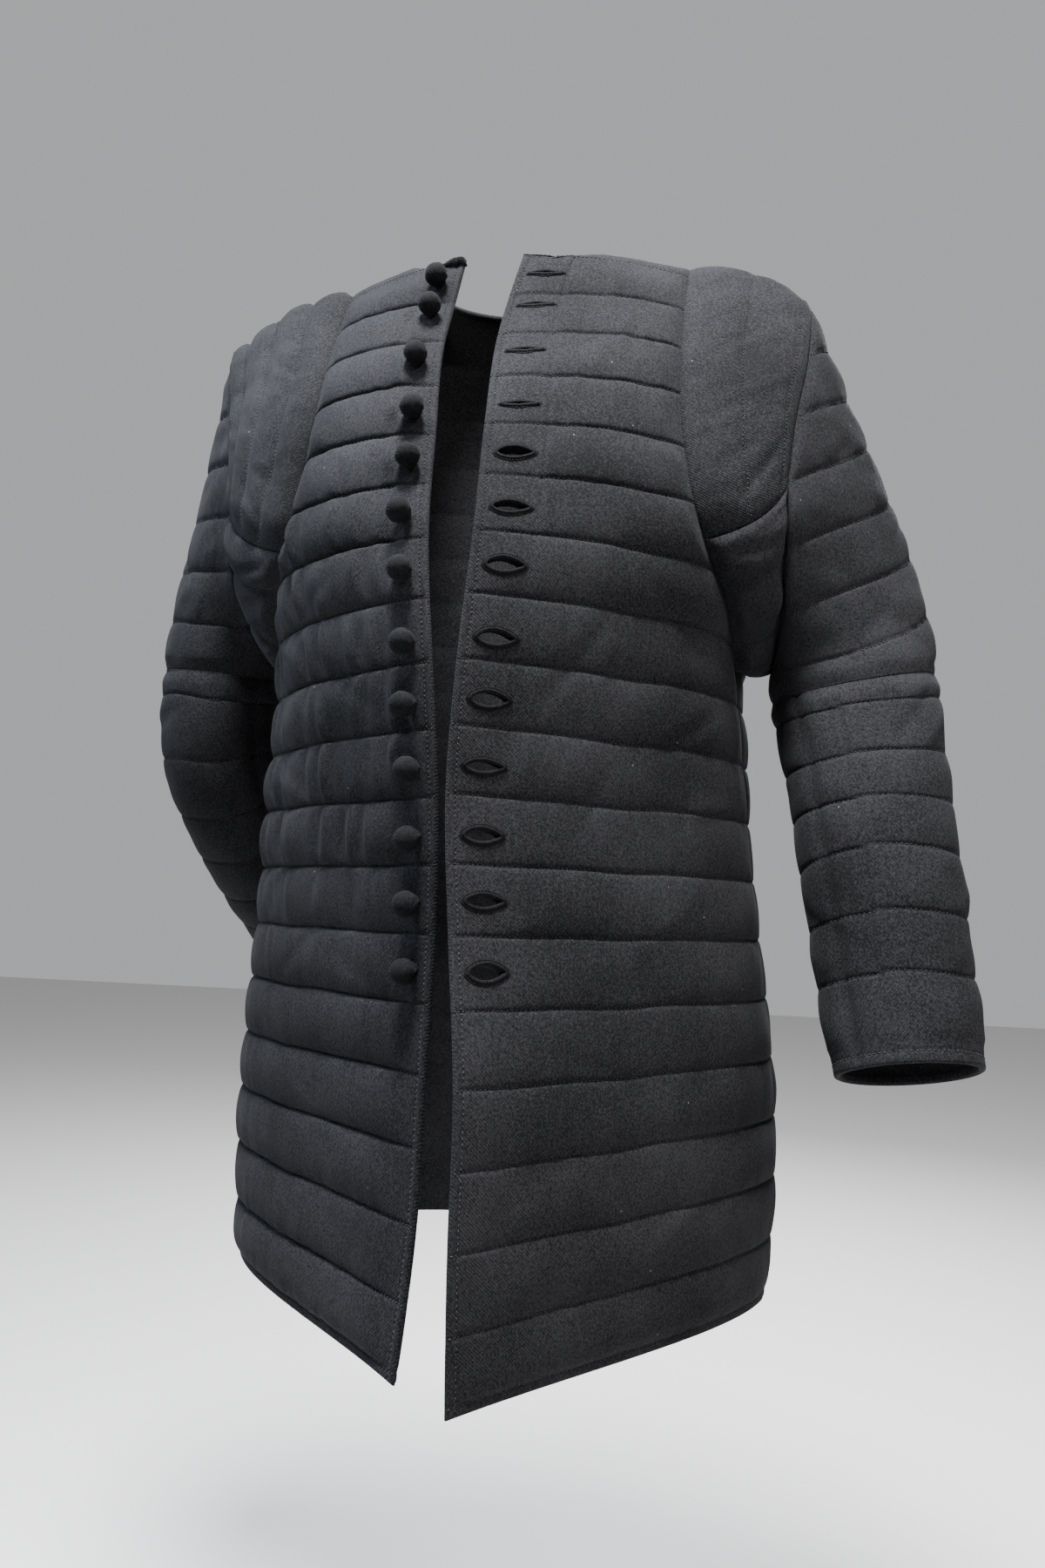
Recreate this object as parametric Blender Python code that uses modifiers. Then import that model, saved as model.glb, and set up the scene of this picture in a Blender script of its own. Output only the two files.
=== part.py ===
"""A quilted arming coat (gambeson), worn open: hollow torso, two sleeves, thirteen ball buttons.

Metres, +Z up. The wearer faces -Y and the wearer's left is +X. The origin is in the middle of the
neck opening, level with the points where the shoulder seams meet the neck.

The coat is cut in pieces that are quilted in level channels. A height on the torso is given as a
row k: row 0 is the hem, and each whole row is one line of quilting stitches, PITCH above the last.
Across a front, s runs from the front edge (0) to its outer seam (1). Every surface that the
functions give is the outer face of the cloth, and the wall lies inside it.
"""

import math

import bmesh
import bpy
import numpy as np
from mathutils import Matrix, Vector
from mathutils.bvhtree import BVHTree

NAME = "gambeson"

# ---- driving dimensions -----------------------------------------------------------------------
PITCH = 0.0475            # from one quilting line to the next
HEM_Z = -0.888            # height of the hem
ROWS_LEVEL = 18.0         # the last level quilting line, just under the neck corners
ROW_TOP = 19.0            # neck edge and shoulder seam
ROW_SIDE = 10.6           # top of the side seam, where the underarm piece begins
ROW_ARM = 12.45           # foot of the shoulder piece
WALL = 0.006              # quilted wall: two cloths with wadding between
PUFF = 0.003              # how far a channel stands proud of its stitching
SEAM_GAP = 0.0003         # between neighbouring pieces

BUTTON_BALL = 0.018       # diameter of a covered ball button
BUTTON_SHANK = 0.0055     # diameter of its gathered shank
BUTTON_STANDOFF = 0.0105  # from the cloth to the centre of the ball
BUTTON_INSET = 0.016      # from the right front edge to the shanks
BUTTON_CLEARANCE = 0.0008  # from the cloth to the foot of a shank
HOLE_INSET = 0.0255       # from the left front edge to the middle of a buttonhole
HOLE_LENGTH = 0.026

CLOTH = (0.020, 0.021, 0.024, 1.0)
CLOTH_ROUGH = 0.92

# ---- torso sections, given for one half: x is the distance from the middle plane ----------------
EDGE_COLUMNS = ("row", "x", "y")
LEFT_EDGE = (
    (0, 0.032, -0.237), (2, 0.031, -0.242), (4, 0.029, -0.236), (6, 0.015, -0.212),
    (8, 0.005, -0.198), (10, 0.008, -0.196), (12, 0.013, -0.187), (14, 0.010, -0.155),
    (16, 0.008, -0.114), (17, 0.011, -0.090), (18, 0.018, -0.072),
)
RIGHT_EDGE = (
    (0, 0.016, -0.200), (2, 0.009, -0.191), (4, 0.009, -0.181), (6, 0.007, -0.179),
    (8, 0.008, -0.183), (10, 0.015, -0.187), (12, 0.024, -0.178), (14, 0.031, -0.144),
    (16, 0.037, -0.110), (17, 0.036, -0.088), (18, 0.032, -0.073),
)
# The two inner handles of the front's section curve.
FRONT_COLUMNS = ("row", "near_x", "near_y", "far_x", "far_y")
FRONT = (
    (0, 0.098, -0.150, 0.208, -0.050), (4, 0.098, -0.150, 0.214, -0.058),
    (8, 0.080, -0.150, 0.196, -0.075), (10, 0.080, -0.160, 0.180, -0.092),
    (12, 0.075, -0.168, 0.152, -0.128), (14, 0.066, -0.150, 0.126, -0.128),
    (16, 0.060, -0.112, 0.116, -0.100), (17, 0.058, -0.086, 0.114, -0.076),
    (18, 0.052, -0.068, 0.108, -0.052),
)
# The back's section curve: depth at the middle, then its two handles.
BACK_COLUMNS = ("row", "middle_y", "near_x", "far_x", "far_y")
BACK = (
    (0, 0.205, 0.120, 0.234, 0.140), (4, 0.185, 0.115, 0.236, 0.125),
    (8, 0.165, 0.110, 0.220, 0.108), (10, 0.160, 0.110, 0.226, 0.112),
    (12, 0.158, 0.105, 0.205, 0.128), (14, 0.158, 0.085, 0.140, 0.144),
    (16, 0.149, 0.075, 0.124, 0.134), (17, 0.137, 0.070, 0.120, 0.120),
    (18, 0.115, 0.060, 0.114, 0.092),
)
SEAM_COLUMNS = ("row", "x", "y")
SIDE_SEAM = (
    (0, 0.226, 0.026), (2, 0.233, 0.028), (4, 0.230, 0.024), (6, 0.219, 0.014),
    (8, 0.209, 0.004), (ROW_SIDE, 0.198, -0.018),
)
FRONT_SEAM = (
    (ROW_SIDE, 0.198, -0.018), (11.6, 0.191, -0.054), (ROW_ARM, 0.173, -0.090),
    (14, 0.157, -0.097), (16, 0.152, -0.075), (17, 0.153, -0.051), (18, 0.155, -0.023),
)
BACK_SEAM = (
    (ROW_SIDE, 0.198, -0.018), (11.4, 0.212, 0.052), (ROW_ARM, 0.196, 0.104),
    (14, 0.176, 0.115), (16, 0.164, 0.104), (17, 0.160, 0.088), (18, 0.158, 0.058),
)
LEFT_CORNER = (0.020, -0.070, -0.031)
RIGHT_CORNER = (0.031, -0.071, -0.036)
NECK_SIDE = (0.086, 0.006, -0.004)
NAPE = (0.0, 0.084, 0.006)
SHOULDER_TOP = (0.157, 0.006, -0.014)
NECK_DIP = 0.006          # how far the neck edge sags between its corner and its side
NECK_SHARE = 0.5          # share of the top row that is neck edge; the rest is shoulder seam

# ---- armholes: t runs from the front foot of the shoulder piece (0) to its back foot (1) ---------
ARMHOLE_COLUMNS = ("t", "x", "y", "z")
LEFT_ARMHOLE_OVER = (
    (0.0, 0.236, -0.085, -0.255), (0.2, 0.244, -0.074, -0.191), (0.36, 0.255, -0.053, -0.128),
    (0.44, 0.259, -0.031, -0.082), (0.5, 0.261, 0.006, -0.059), (0.56, 0.262, 0.048, -0.078),
    (0.64, 0.260, 0.077, -0.122), (0.8, 0.250, 0.101, -0.190), (1.0, 0.243, 0.108, -0.255),
)
LEFT_ARMHOLE_UNDER = (
    (0.0, 0.236, -0.085, -0.255), (0.18, 0.234, -0.072, -0.300), (0.36, 0.234, -0.046, -0.337),
    (0.5, 0.229, 0.004, -0.368), (0.66, 0.235, 0.057, -0.340), (0.84, 0.242, 0.094, -0.300),
    (1.0, 0.243, 0.108, -0.255),
)
RIGHT_ARMHOLE_OVER = (
    (0.0, 0.256, -0.026, -0.236), (0.2, 0.259, -0.023, -0.185), (0.36, 0.268, -0.015, -0.128),
    (0.44, 0.282, 0.000, -0.083), (0.5, 0.293, 0.028, -0.059), (0.56, 0.298, 0.061, -0.077),
    (0.64, 0.298, 0.086, -0.122), (0.8, 0.286, 0.114, -0.190), (1.0, 0.272, 0.128, -0.250),
)
RIGHT_ARMHOLE_UNDER = (
    (0.0, 0.256, -0.026, -0.236), (0.18, 0.254, -0.019, -0.270), (0.36, 0.250, 0.002, -0.302),
    (0.5, 0.247, 0.038, -0.322), (0.66, 0.253, 0.080, -0.312), (0.84, 0.264, 0.114, -0.284),
    (1.0, 0.272, 0.128, -0.250),
)
SHOULDER_BULGE = 0.013    # crown of the shoulder piece across its width
UNDERARM_BULGE = 0.007
STRIP_POLE = (0.14, 0.01, -0.22)

# ---- lower sleeves: t runs from the elbow seam (0) to the cuff edge (1) --------------------------
SLEEVE_COLUMNS = ("t", "x", "y", "z", "half_width", "half_depth")
LEFT_SLEEVE = (
    (0.00, 0.294, 0.012, -0.390, 0.066, 0.066), (0.24, 0.301, -0.010, -0.462, 0.061, 0.063),
    (0.50, 0.307, -0.034, -0.540, 0.0585, 0.058), (0.75, 0.3135, -0.056, -0.616, 0.0550, 0.053),
    (1.00, 0.3205, -0.080, -0.692, 0.0520, 0.049),
)
RIGHT_SLEEVE = (
    (0.00, 0.302, 0.090, -0.362, 0.064, 0.066), (0.26, 0.305, 0.104, -0.440, 0.063, 0.066),
    (0.50, 0.292, 0.142, -0.510, 0.059, 0.060), (0.75, 0.275, 0.184, -0.567, 0.055, 0.055),
    (1.00, 0.256, 0.226, -0.622, 0.052, 0.050),
)
LEFT_ARM_AXIS = (0.24, 0.05, -0.97)       # the way the upper sleeve leaves its armhole
RIGHT_ARM_AXIS = (0.10, 0.16, -0.98)
SLEEVE_SWELL = 0.04                       # how far it swells out past the armhole as it does
ELBOW_DIP = (0.0035, 0.0245, -0.0055)     # the left elbow seam hangs: evenly, at the front, outside
ELBOW_DIP_END = 0.5                       # where down the lower sleeve that has faded
SLEEVE_REACH = 0.36                       # handles of its long curves, as a share of their length

# ---- buttons and buttonholes: the row of each, and how far each buttonhole gapes ------------------
CLOSURE_COLUMNS = ("row", "gape")
CLOSURES = (
    (17.50, 0.0022), (16.70, 0.0022), (15.55, 0.0022), (14.38, 0.0022), (13.40, 0.0088),
    (12.42, 0.0085), (11.46, 0.0100), (10.34, 0.0100), (9.42, 0.0100), (8.43, 0.0078),
    (7.42, 0.0090), (6.48, 0.0085), (5.50, 0.0105),
)

# ---- mesh steps --------------------------------------------------------------------------------
FRONT_STEPS = (0.0, 0.13, 0.3, 0.5, 0.75, 1.0)
FRONT_PUFFS = (0.0, 0.0, 0.8, 1.0, 0.9, 0.0)
BACK_STEPS = (0.0, 0.25, 0.5, 0.75, 1.0)
BACK_PUFFS = (1.0, 1.0, 1.0, 0.9, 0.0)
STRIP_STEPS = (0.0, 1 / 3, 2 / 3, 1.0)
UPPER_SLEEVE_STEPS = 6
LOWER_SLEEVE_LINES = (0.0, 0.23, 0.375, 0.52, 0.665, 0.81, 0.955, 1.0)
BUTTON_SIDES = 10


# ---- curves -------------------------------------------------------------------------------------
def column(rows, name, names, at):
    """Smooth value of a table's named column at the places `at` along its first column."""
    table = np.array(rows, float)
    knots = table[:, 0]
    values = table[:, names.index(name)]
    at = np.clip(np.asarray(at, float), knots[0], knots[-1])
    step = np.diff(knots)
    slope = np.diff(values) / step
    tangent = np.empty_like(values)
    tangent[1:-1] = (slope[:-1] * step[1:] + slope[1:] * step[:-1]) / (step[:-1] + step[1:])
    tangent[0] = 1.5 * slope[0] - 0.5 * tangent[1]
    tangent[-1] = 1.5 * slope[-1] - 0.5 * tangent[-2]
    i = np.clip(np.searchsorted(knots, at, side="right") - 1, 0, len(knots) - 2)
    t = (at - knots[i]) / step[i]
    rise = (2 * t**3 - 3 * t**2 + 1) * values[i] + (3 * t**2 - 2 * t**3) * values[i + 1]
    lean = (t**3 - 2 * t**2 + t) * tangent[i] + (t**3 - t**2) * tangent[i + 1]
    return rise + step[i] * lean


def points(x, y, z):
    return np.stack(np.broadcast_arrays(x, y, z), axis=-1).astype(float)


def blend_curve(a, b, c, d, s):
    """Cubic curve from a to d with handles b and c."""
    s = np.asarray(s)[..., None]
    return (1 - s)**3 * a + 3 * s * (1 - s)**2 * b + 3 * s**2 * (1 - s) * c + s**3 * d


def row_height(row):
    return HEM_Z + PITCH * np.minimum(row, ROWS_LEVEL)


# ---- torso --------------------------------------------------------------------------------------
def outer_seam(row, upper):
    """The side seam up to ROW_SIDE, and the front or back edge of the arm pieces above it."""
    level = np.minimum(np.asarray(row, float), ROWS_LEVEL)
    low = np.minimum(level, ROW_SIDE)
    high = np.maximum(level, ROW_SIDE)
    below = [column(SIDE_SEAM, name, SEAM_COLUMNS, low) for name in ("x", "y")]
    above = [column(upper, name, SEAM_COLUMNS, high) for name in ("x", "y")]
    is_below = level <= ROW_SIDE
    return points(*[np.where(is_below, b, a) for b, a in zip(below, above)], row_height(level))


def top_row(s, corner):
    """The neck edge from a corner to the neck's side, then the shoulder seam."""
    neck = np.array(NECK_SIDE)
    corner = np.array(corner)
    turn = np.clip(s / NECK_SHARE, 0, 1) * math.pi / 2
    swing = points(np.sin(turn), 1 - np.cos(turn), 1 - np.cos(turn))
    edge = corner + (neck - corner) * swing
    edge[..., 2] -= NECK_DIP * np.sin(2 * turn)
    share = np.clip((s - NECK_SHARE) / (1 - NECK_SHARE), 0, 1)[..., None]
    return np.where((s < NECK_SHARE)[..., None], edge, neck + (np.array(SHOULDER_TOP) - neck) * share)


def nape_row(s):
    """The neck edge from the nape to the neck's side, then the same shoulder seam."""
    neck = np.array(NECK_SIDE)
    turn = np.clip(s / NECK_SHARE, 0, 1) * math.pi / 2
    swing = points(np.sin(turn), np.cos(turn), np.cos(turn))
    far = np.array((2 * NECK_SIDE[0], NAPE[1], NAPE[2]))
    edge = points(0, NECK_SIDE[1], NECK_SIDE[2]) + (far - neck) * swing
    share = np.clip((s - NECK_SHARE) / (1 - NECK_SHARE), 0, 1)[..., None]
    return np.where((s < NECK_SHARE)[..., None], edge, neck + (np.array(SHOULDER_TOP) - neck) * share)


def round_over(row, below, top):
    """Carries the last level row over the top of the shoulder to the top row."""
    t = np.clip(row - ROWS_LEVEL, 0, 1)[..., None]
    handle = points((below[..., 0] + top[..., 0]) / 2, 0.6 * below[..., 1] + 0.4 * top[..., 1], top[..., 2])
    return (1 - t)**2 * below + 2 * t * (1 - t) * handle + t**2 * top


def front_point(row, s, side):
    """Outer face of a front: side is 1 on the wearer's left and -1 on the right."""
    row, s = np.broadcast_arrays(np.asarray(row, float), np.asarray(s, float))
    level = np.minimum(row, ROWS_LEVEL)
    z = row_height(level)
    edges = LEFT_EDGE if side > 0 else RIGHT_EDGE
    edge = points(*[column(edges, name, EDGE_COLUMNS, level) for name in ("x", "y")], z)
    left = points(*[column(LEFT_EDGE, name, EDGE_COLUMNS, level) for name in ("x", "y")], z)
    near = points(*[column(FRONT, name, FRONT_COLUMNS, level) for name in ("near_x", "near_y")], z)
    far = points(*[column(FRONT, name, FRONT_COLUMNS, level) for name in ("far_x", "far_y")], z)
    near = near + 0.67 * (edge - left)
    far = far + 0.2 * (edge - left)
    below = blend_curve(edge, near, far, outer_seam(level, FRONT_SEAM), s)
    top = top_row(s, LEFT_CORNER if side > 0 else RIGHT_CORNER)
    return round_over(row, below, top) * np.array((side, 1, 1))


def back_point(row, s):
    """Outer face of the back: s runs from the right seam (-1) over the middle (0) to the left (1)."""
    row, s = np.broadcast_arrays(np.asarray(row, float), np.asarray(s, float))
    level = np.minimum(row, ROWS_LEVEL)
    z = row_height(level)
    middle_y, near_x, far_x, far_y = (column(BACK, name, BACK_COLUMNS, level) for name in BACK_COLUMNS[1:])
    half = np.abs(s)
    below = blend_curve(points(0, middle_y, z), points(near_x, middle_y, z), points(far_x, far_y, z),
                        outer_seam(level, BACK_SEAM), half)
    return round_over(row, below, nape_row(half)) * points(np.where(s < 0, -1, 1), 1, 1)


# ---- grids: a piece is a grid of outer face points, with how far each stands proud --------------
def channel_rows(first, last):
    """Every half row, with the rows nearest the underarm corners moved onto them."""
    rows = np.arange(0, ROW_TOP + 0.25, 0.5)
    for corner in (ROW_SIDE, ROW_ARM):
        rows[np.argmin(np.abs(rows - corner))] = corner
    return rows[(rows >= first) & (rows <= last)]


def row_puff(rows):
    """1 at the crest of a channel, 0 on a quilting line and above the last one."""
    return np.where(rows > ROWS_LEVEL, 0, np.sin(math.pi * rows)**2)


def front_grid(side):
    rows = channel_rows(0, ROW_TOP)
    grid = front_point(rows[:, None], np.array(FRONT_STEPS)[None, :], side)
    return grid, row_puff(rows)[:, None] * np.array(FRONT_PUFFS)[None, :]


def back_grid():
    rows = channel_rows(0, ROW_TOP)
    steps = [-s for s in BACK_STEPS[:0:-1]] + list(BACK_STEPS)
    puffs = list(BACK_PUFFS[:0:-1]) + list(BACK_PUFFS)
    grid = back_point(rows[:, None], np.array(steps)[None, :])
    return grid, row_puff(rows)[:, None] * np.array(puffs)[None, :]


def arm_strip(first, last, armhole, bulge, side):
    """A piece between the torso's outer seam and the armhole, from the front round to the back.

    It is crowned away from STRIP_POLE: as the shoulder piece is at its ends, by `bulge` halfway.
    """
    up = channel_rows(min(first, last), max(first, last))
    rows = up if first < last else up[::-1]
    front = torso_edge(rows, FRONT_SEAM)
    back = torso_edge(rows[::-1], BACK_SEAM)
    inner = np.concatenate([front, back[1:]])
    t = np.linspace(0, 1, len(inner))
    outer = evenly_spaced(armhole, len(inner))
    middle = (inner + outer) / 2
    away = middle - np.array(STRIP_POLE)
    away[:, 1] *= 0.5
    away /= np.linalg.norm(away, axis=1)[:, None]
    rise = SHOULDER_BULGE + (bulge - SHOULDER_BULGE) * np.sin(math.pi * t)
    crown = middle + 2 * rise[:, None] * away
    s = np.array(STRIP_STEPS)[None, :, None]
    grid = (1 - s)**2 * inner[:, None] + 2 * s * (1 - s) * crown[:, None] + s**2 * outer[:, None]
    return grid * np.array((side, 1, 1)), np.zeros(grid.shape[:2])


def evenly_spaced(armhole, count):
    """Points along an armhole table's curve, the same distance apart."""
    fine = np.linspace(0, 1, 400)
    curve = points(*[column(armhole, name, ARMHOLE_COLUMNS, fine) for name in ("x", "y", "z")])
    run = np.concatenate([[0], np.cumsum(np.linalg.norm(np.diff(curve, axis=0), axis=1))])
    even = np.linspace(0, run[-1], count)
    return points(*[np.interp(even, run, curve[:, axis]) for axis in range(3)])


def torso_edge(rows, upper):
    """Points of the torso's outer seam, up to and over the top of the shoulder."""
    level = np.minimum(rows, ROWS_LEVEL)
    return round_over(rows, outer_seam(level, upper), np.broadcast_to(SHOULDER_TOP, (len(rows), 3)))


def shoulder_grid(side):
    armhole = LEFT_ARMHOLE_OVER if side > 0 else RIGHT_ARMHOLE_OVER
    return arm_strip(ROW_ARM, ROW_TOP, armhole, SHOULDER_BULGE, side)


def underarm_grid(side):
    armhole = LEFT_ARMHOLE_UNDER if side > 0 else RIGHT_ARMHOLE_UNDER
    return arm_strip(ROW_ARM, ROW_SIDE, armhole, UNDERARM_BULGE, side)


# ---- sleeves ------------------------------------------------------------------------------------
def armhole_ring(shoulder, underarm):
    """The armhole's points: from the front up over the shoulder, then back under the arm."""
    return np.concatenate([shoulder[:, -1], underarm[-2:0:-1, -1]])


def sleeve_rings(rows, t, angles, side):
    """Rings square to the sleeve's own course. Angle 0 is its outer side and 90 degrees its front."""
    centre, tangent = (sleeve_course(rows, t, shift) for shift in (0, 1e-3))
    tangent = tangent - sleeve_course(rows, t, -1e-3)
    tangent /= np.linalg.norm(tangent, axis=1)[:, None]
    outward = np.array((1.0, 0, 0)) - tangent * tangent[:, :1]
    outward /= np.linalg.norm(outward, axis=1)[:, None]
    forward = np.cross(outward, tangent)
    forward *= -np.sign(forward[:, 1:2])
    width, depth = (column(rows, name, SLEEVE_COLUMNS, t)[:, None, None] for name in SLEEVE_COLUMNS[4:])
    cos, sin = np.cos(angles)[None, :, None], np.sin(angles)[None, :, None]
    rings = centre[:, None] + width * cos * outward[:, None] + depth * sin * forward[:, None]
    if side > 0:
        fade = (1 - np.clip(np.asarray(t, float) / ELBOW_DIP_END, 0, 1))[:, None]
        rings[..., 2] -= fade * (ELBOW_DIP[0] + ELBOW_DIP[1] * sin[..., 0] + ELBOW_DIP[2] * cos[..., 0])
    return rings * np.array((side, 1, 1))


def sleeve_course(rows, t, shift):
    at = np.asarray(t, float) + shift
    inside = np.clip(at, 0, 1)
    course = points(*[column(rows, name, SLEEVE_COLUMNS, inside) for name in ("x", "y", "z")])
    if shift == 0:
        return course
    end = points(*[column(rows, name, SLEEVE_COLUMNS, inside - shift) for name in ("x", "y", "z")])
    return course + (course - end) * ((at - inside) / shift)[:, None]


def ring_angles(ring, side):
    """The angle round the sleeve of each point of an armhole."""
    middle = (ring.max(axis=0) + ring.min(axis=0)) / 2
    reach = (ring.max(axis=0) - ring.min(axis=0)) / 2
    return np.arctan2((middle[1] - ring[:, 1]) / reach[1], (ring[:, 2] - middle[2]) / reach[2])


def upper_sleeve_grid(ring, side):
    rows = LEFT_SLEEVE if side > 0 else RIGHT_SLEEVE
    axis = np.array(LEFT_ARM_AXIS if side > 0 else RIGHT_ARM_AXIS) * np.array((side, 1, 1))
    angles = ring_angles(ring, side)
    elbow, below = sleeve_rings(rows, (0.0, 0.03), angles, side)
    length = np.linalg.norm(elbow - ring, axis=1)[:, None]
    outward = ring - ring.mean(axis=0)
    outward /= np.linalg.norm(outward, axis=1)[:, None]
    away_from_torso = np.clip(0.5 + outward[:, 2:], 0, 1)
    leave = axis + SLEEVE_SWELL * away_from_torso * (outward * (1, 1, 0) + (side, 0, 0))
    leave /= np.linalg.norm(leave, axis=1)[:, None]
    arrive = below - elbow
    arrive /= np.linalg.norm(arrive, axis=1)[:, None]
    t = np.linspace(0, 1, UPPER_SLEEVE_STEPS + 1)
    curves = [blend_curve(a, a + SLEEVE_REACH * n * d, e - SLEEVE_REACH * n * f, e, t)
              for a, n, d, e, f in zip(ring, length, leave, elbow, arrive)]
    grid = np.stack(curves, axis=1)
    return grid, np.zeros(grid.shape[:2])


def lower_sleeve_grid(ring, side):
    rows = LEFT_SLEEVE if side > 0 else RIGHT_SLEEVE
    lines = np.array(LOWER_SLEEVE_LINES)
    crests = (lines[:-2] + lines[1:-1]) / 2
    t = np.sort(np.concatenate([lines, crests]))
    grid = sleeve_rings(rows, t, ring_angles(ring, side), side)
    puff = np.where(np.isin(t, crests), 0.8, 0)
    return grid, np.repeat(puff[:, None], grid.shape[1], axis=1)


# ---- walls --------------------------------------------------------------------------------------
class Piece:
    """A grid of outer face points that becomes one solid wall."""

    def __init__(self, name, grid, puff, seams, closed=False):
        self.name = name
        self.grid = grid
        self.puff = puff
        self.seams = seams        # which of first_row, last_row, first_column, last_column is sewn
        self.closed = closed      # a tube: the last column is next to the first
        self.normal = self.grid_normals()

    def grid_normals(self):
        across = self.differences(1, self.closed)
        along = self.differences(0, False)
        normal = np.cross(across, along)
        normal /= np.linalg.norm(normal, axis=-1, keepdims=True)
        return normal * self.outward_sign(normal)

    def differences(self, axis, wraps):
        if wraps:
            return np.roll(self.grid, -1, axis) - np.roll(self.grid, 1, axis)
        return np.gradient(self.grid, axis=axis)

    def outward_sign(self, normal):
        """+1 or -1, so that the normals point away from the piece's own hollow."""
        if self.closed:
            away = self.grid - self.grid.mean(axis=1, keepdims=True)
        else:
            away = self.grid - np.array((0, 0.01, -0.25))
            away[..., 2] = np.maximum(away[..., 2], 0)
            away[..., 0] *= 0.6
        return math.copysign(1, float(np.sum(normal * away)))


def share_seam_normals(pieces):
    """Points that pieces share at a seam lean the same way, so their walls meet face to face."""
    totals = {}
    for piece in pieces:
        for key, normal in zip(point_keys(piece), piece.normal.reshape(-1, 3)):
            totals[key] = totals.get(key, 0) + normal
    for piece in pieces:
        shared = np.array([totals[key] for key in point_keys(piece)])
        shared /= np.linalg.norm(shared, axis=1)[:, None]
        piece.normal = shared.reshape(piece.normal.shape)


def point_keys(piece):
    return [tuple(point) for point in np.round(piece.grid.reshape(-1, 3) * 1e5).astype(int)]


def faces_of_wall(piece):
    """Outer and inner face points, drawn back from the seams by half the gap."""
    outer = piece.grid + piece.normal * (PUFF * piece.puff[..., None])
    inner = piece.grid - piece.normal * WALL
    inner = inner + piece.normal * (0.5 * PUFF * piece.puff[..., None])
    return [draw_back(face, piece) for face in (outer, inner)]


def draw_back(face, piece):
    face = face.copy()
    moved = face.copy()
    for seam in piece.seams:
        first = seam.startswith("first")
        end, near = (0, 1) if first else (-1, -2)
        if seam.endswith("row"):
            moved[end] += inward(face[end], face[near], piece.closed)
        else:
            moved[:, end] += inward(face[:, end], face[:, near], False)
    return moved


def inward(edge, near, wraps):
    """A step of half the seam gap, square to the edge and towards the next line of points."""
    if wraps:
        along = np.roll(edge, -1, 0) - np.roll(edge, 1, 0)
    else:
        along = np.gradient(edge, axis=0)
    along /= np.linalg.norm(along, axis=1)[:, None]
    step = near - edge
    step -= along * np.sum(step * along, axis=1)[:, None]
    return step * (SEAM_GAP / 2 / np.linalg.norm(step, axis=1)[:, None])


def wall_object(piece, material, collection):
    """One closed solid: the outer face, the inner face and the rims between them."""
    outer, inner = faces_of_wall(piece)
    rows, columns = outer.shape[:2]
    mesh = bmesh.new()
    grids = [[[mesh.verts.new(p) for p in line] for line in face] for face in (outer, inner)]
    spans = columns if piece.closed else columns - 1
    for grid in grids:
        for i in range(rows - 1):
            for j in range(spans):
                n = (j + 1) % columns
                mesh.faces.new((grid[i][j], grid[i][n], grid[i + 1][n], grid[i + 1][j]))
    for a, b in rim_pairs(rows, columns, piece.closed):
        quad = (grids[0][a[0]][a[1]], grids[0][b[0]][b[1]], grids[1][b[0]][b[1]], grids[1][a[0]][a[1]])
        mesh.faces.new(quad)
    bmesh.ops.recalc_face_normals(mesh, faces=mesh.faces)
    bmesh.ops.triangulate(mesh, faces=mesh.faces)
    return mesh_object(piece.name, mesh, material, collection)


def rim_pairs(rows, columns, closed):
    """Neighbouring grid places round the border of a piece, or round both ends of a tube."""
    last = columns if closed else columns - 1
    for j in range(last):
        for i in (0, rows - 1):
            yield (i, j), (i, (j + 1) % columns)
    if not closed:
        for i in range(rows - 1):
            for j in (0, columns - 1):
                yield (i, j), (i + 1, j)


def mesh_object(name, mesh, material, collection):
    data = bpy.data.meshes.new(name)
    mesh.to_mesh(data)
    mesh.free()
    data.materials.append(material)
    data.shade_smooth()
    data.set_sharp_from_angle(angle=math.radians(40))
    piece = bpy.data.objects.new(name, data)
    collection.objects.link(piece)
    return piece


def new_material(name):
    material = bpy.data.materials.new(name)
    material.use_nodes = True
    shader = material.node_tree.nodes["Principled BSDF"]
    shader.inputs["Base Color"].default_value = CLOTH
    shader.inputs["Roughness"].default_value = CLOTH_ROUGH
    shader.inputs["Metallic"].default_value = 0.0
    material.diffuse_color = CLOTH
    return material


# ---- closures -----------------------------------------------------------------------------------
def place_on_front(row, inset, side):
    """A place on a front, `inset` in from its edge, as a frame: X in from the edge, Z out."""
    steps = np.linspace(0, 0.5, 200)
    line = front_point(row, steps, side)
    run = np.concatenate([[0], np.cumsum(np.linalg.norm(np.diff(line, axis=0), axis=1))])
    s = float(np.interp(inset, run, steps))
    here, along, above = (front_point(r, t, side) for r, t in ((row, s), (row, s + 0.01), (row + 0.2, s)))
    x = Vector(along - here).normalized()
    z = x.cross(Vector(above - here)) * side
    z.normalize()
    y = z.cross(x)
    frame = Matrix((x, y, z)).transposed().to_4x4()
    frame.translation = Vector(here)
    return frame


def lift_clear(frame, front):
    """Moves a frame out along its own Z until its foot stands clear of the front's outer face."""
    z = frame.col[2].xyz
    start = frame.translation + z * 0.03
    tree = BVHTree.FromObject(front, bpy.context.evaluated_depsgraph_get())
    place, _, _, _ = tree.ray_cast(start, -z)
    frame.translation = place + z * BUTTON_CLEARANCE
    return frame


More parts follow.
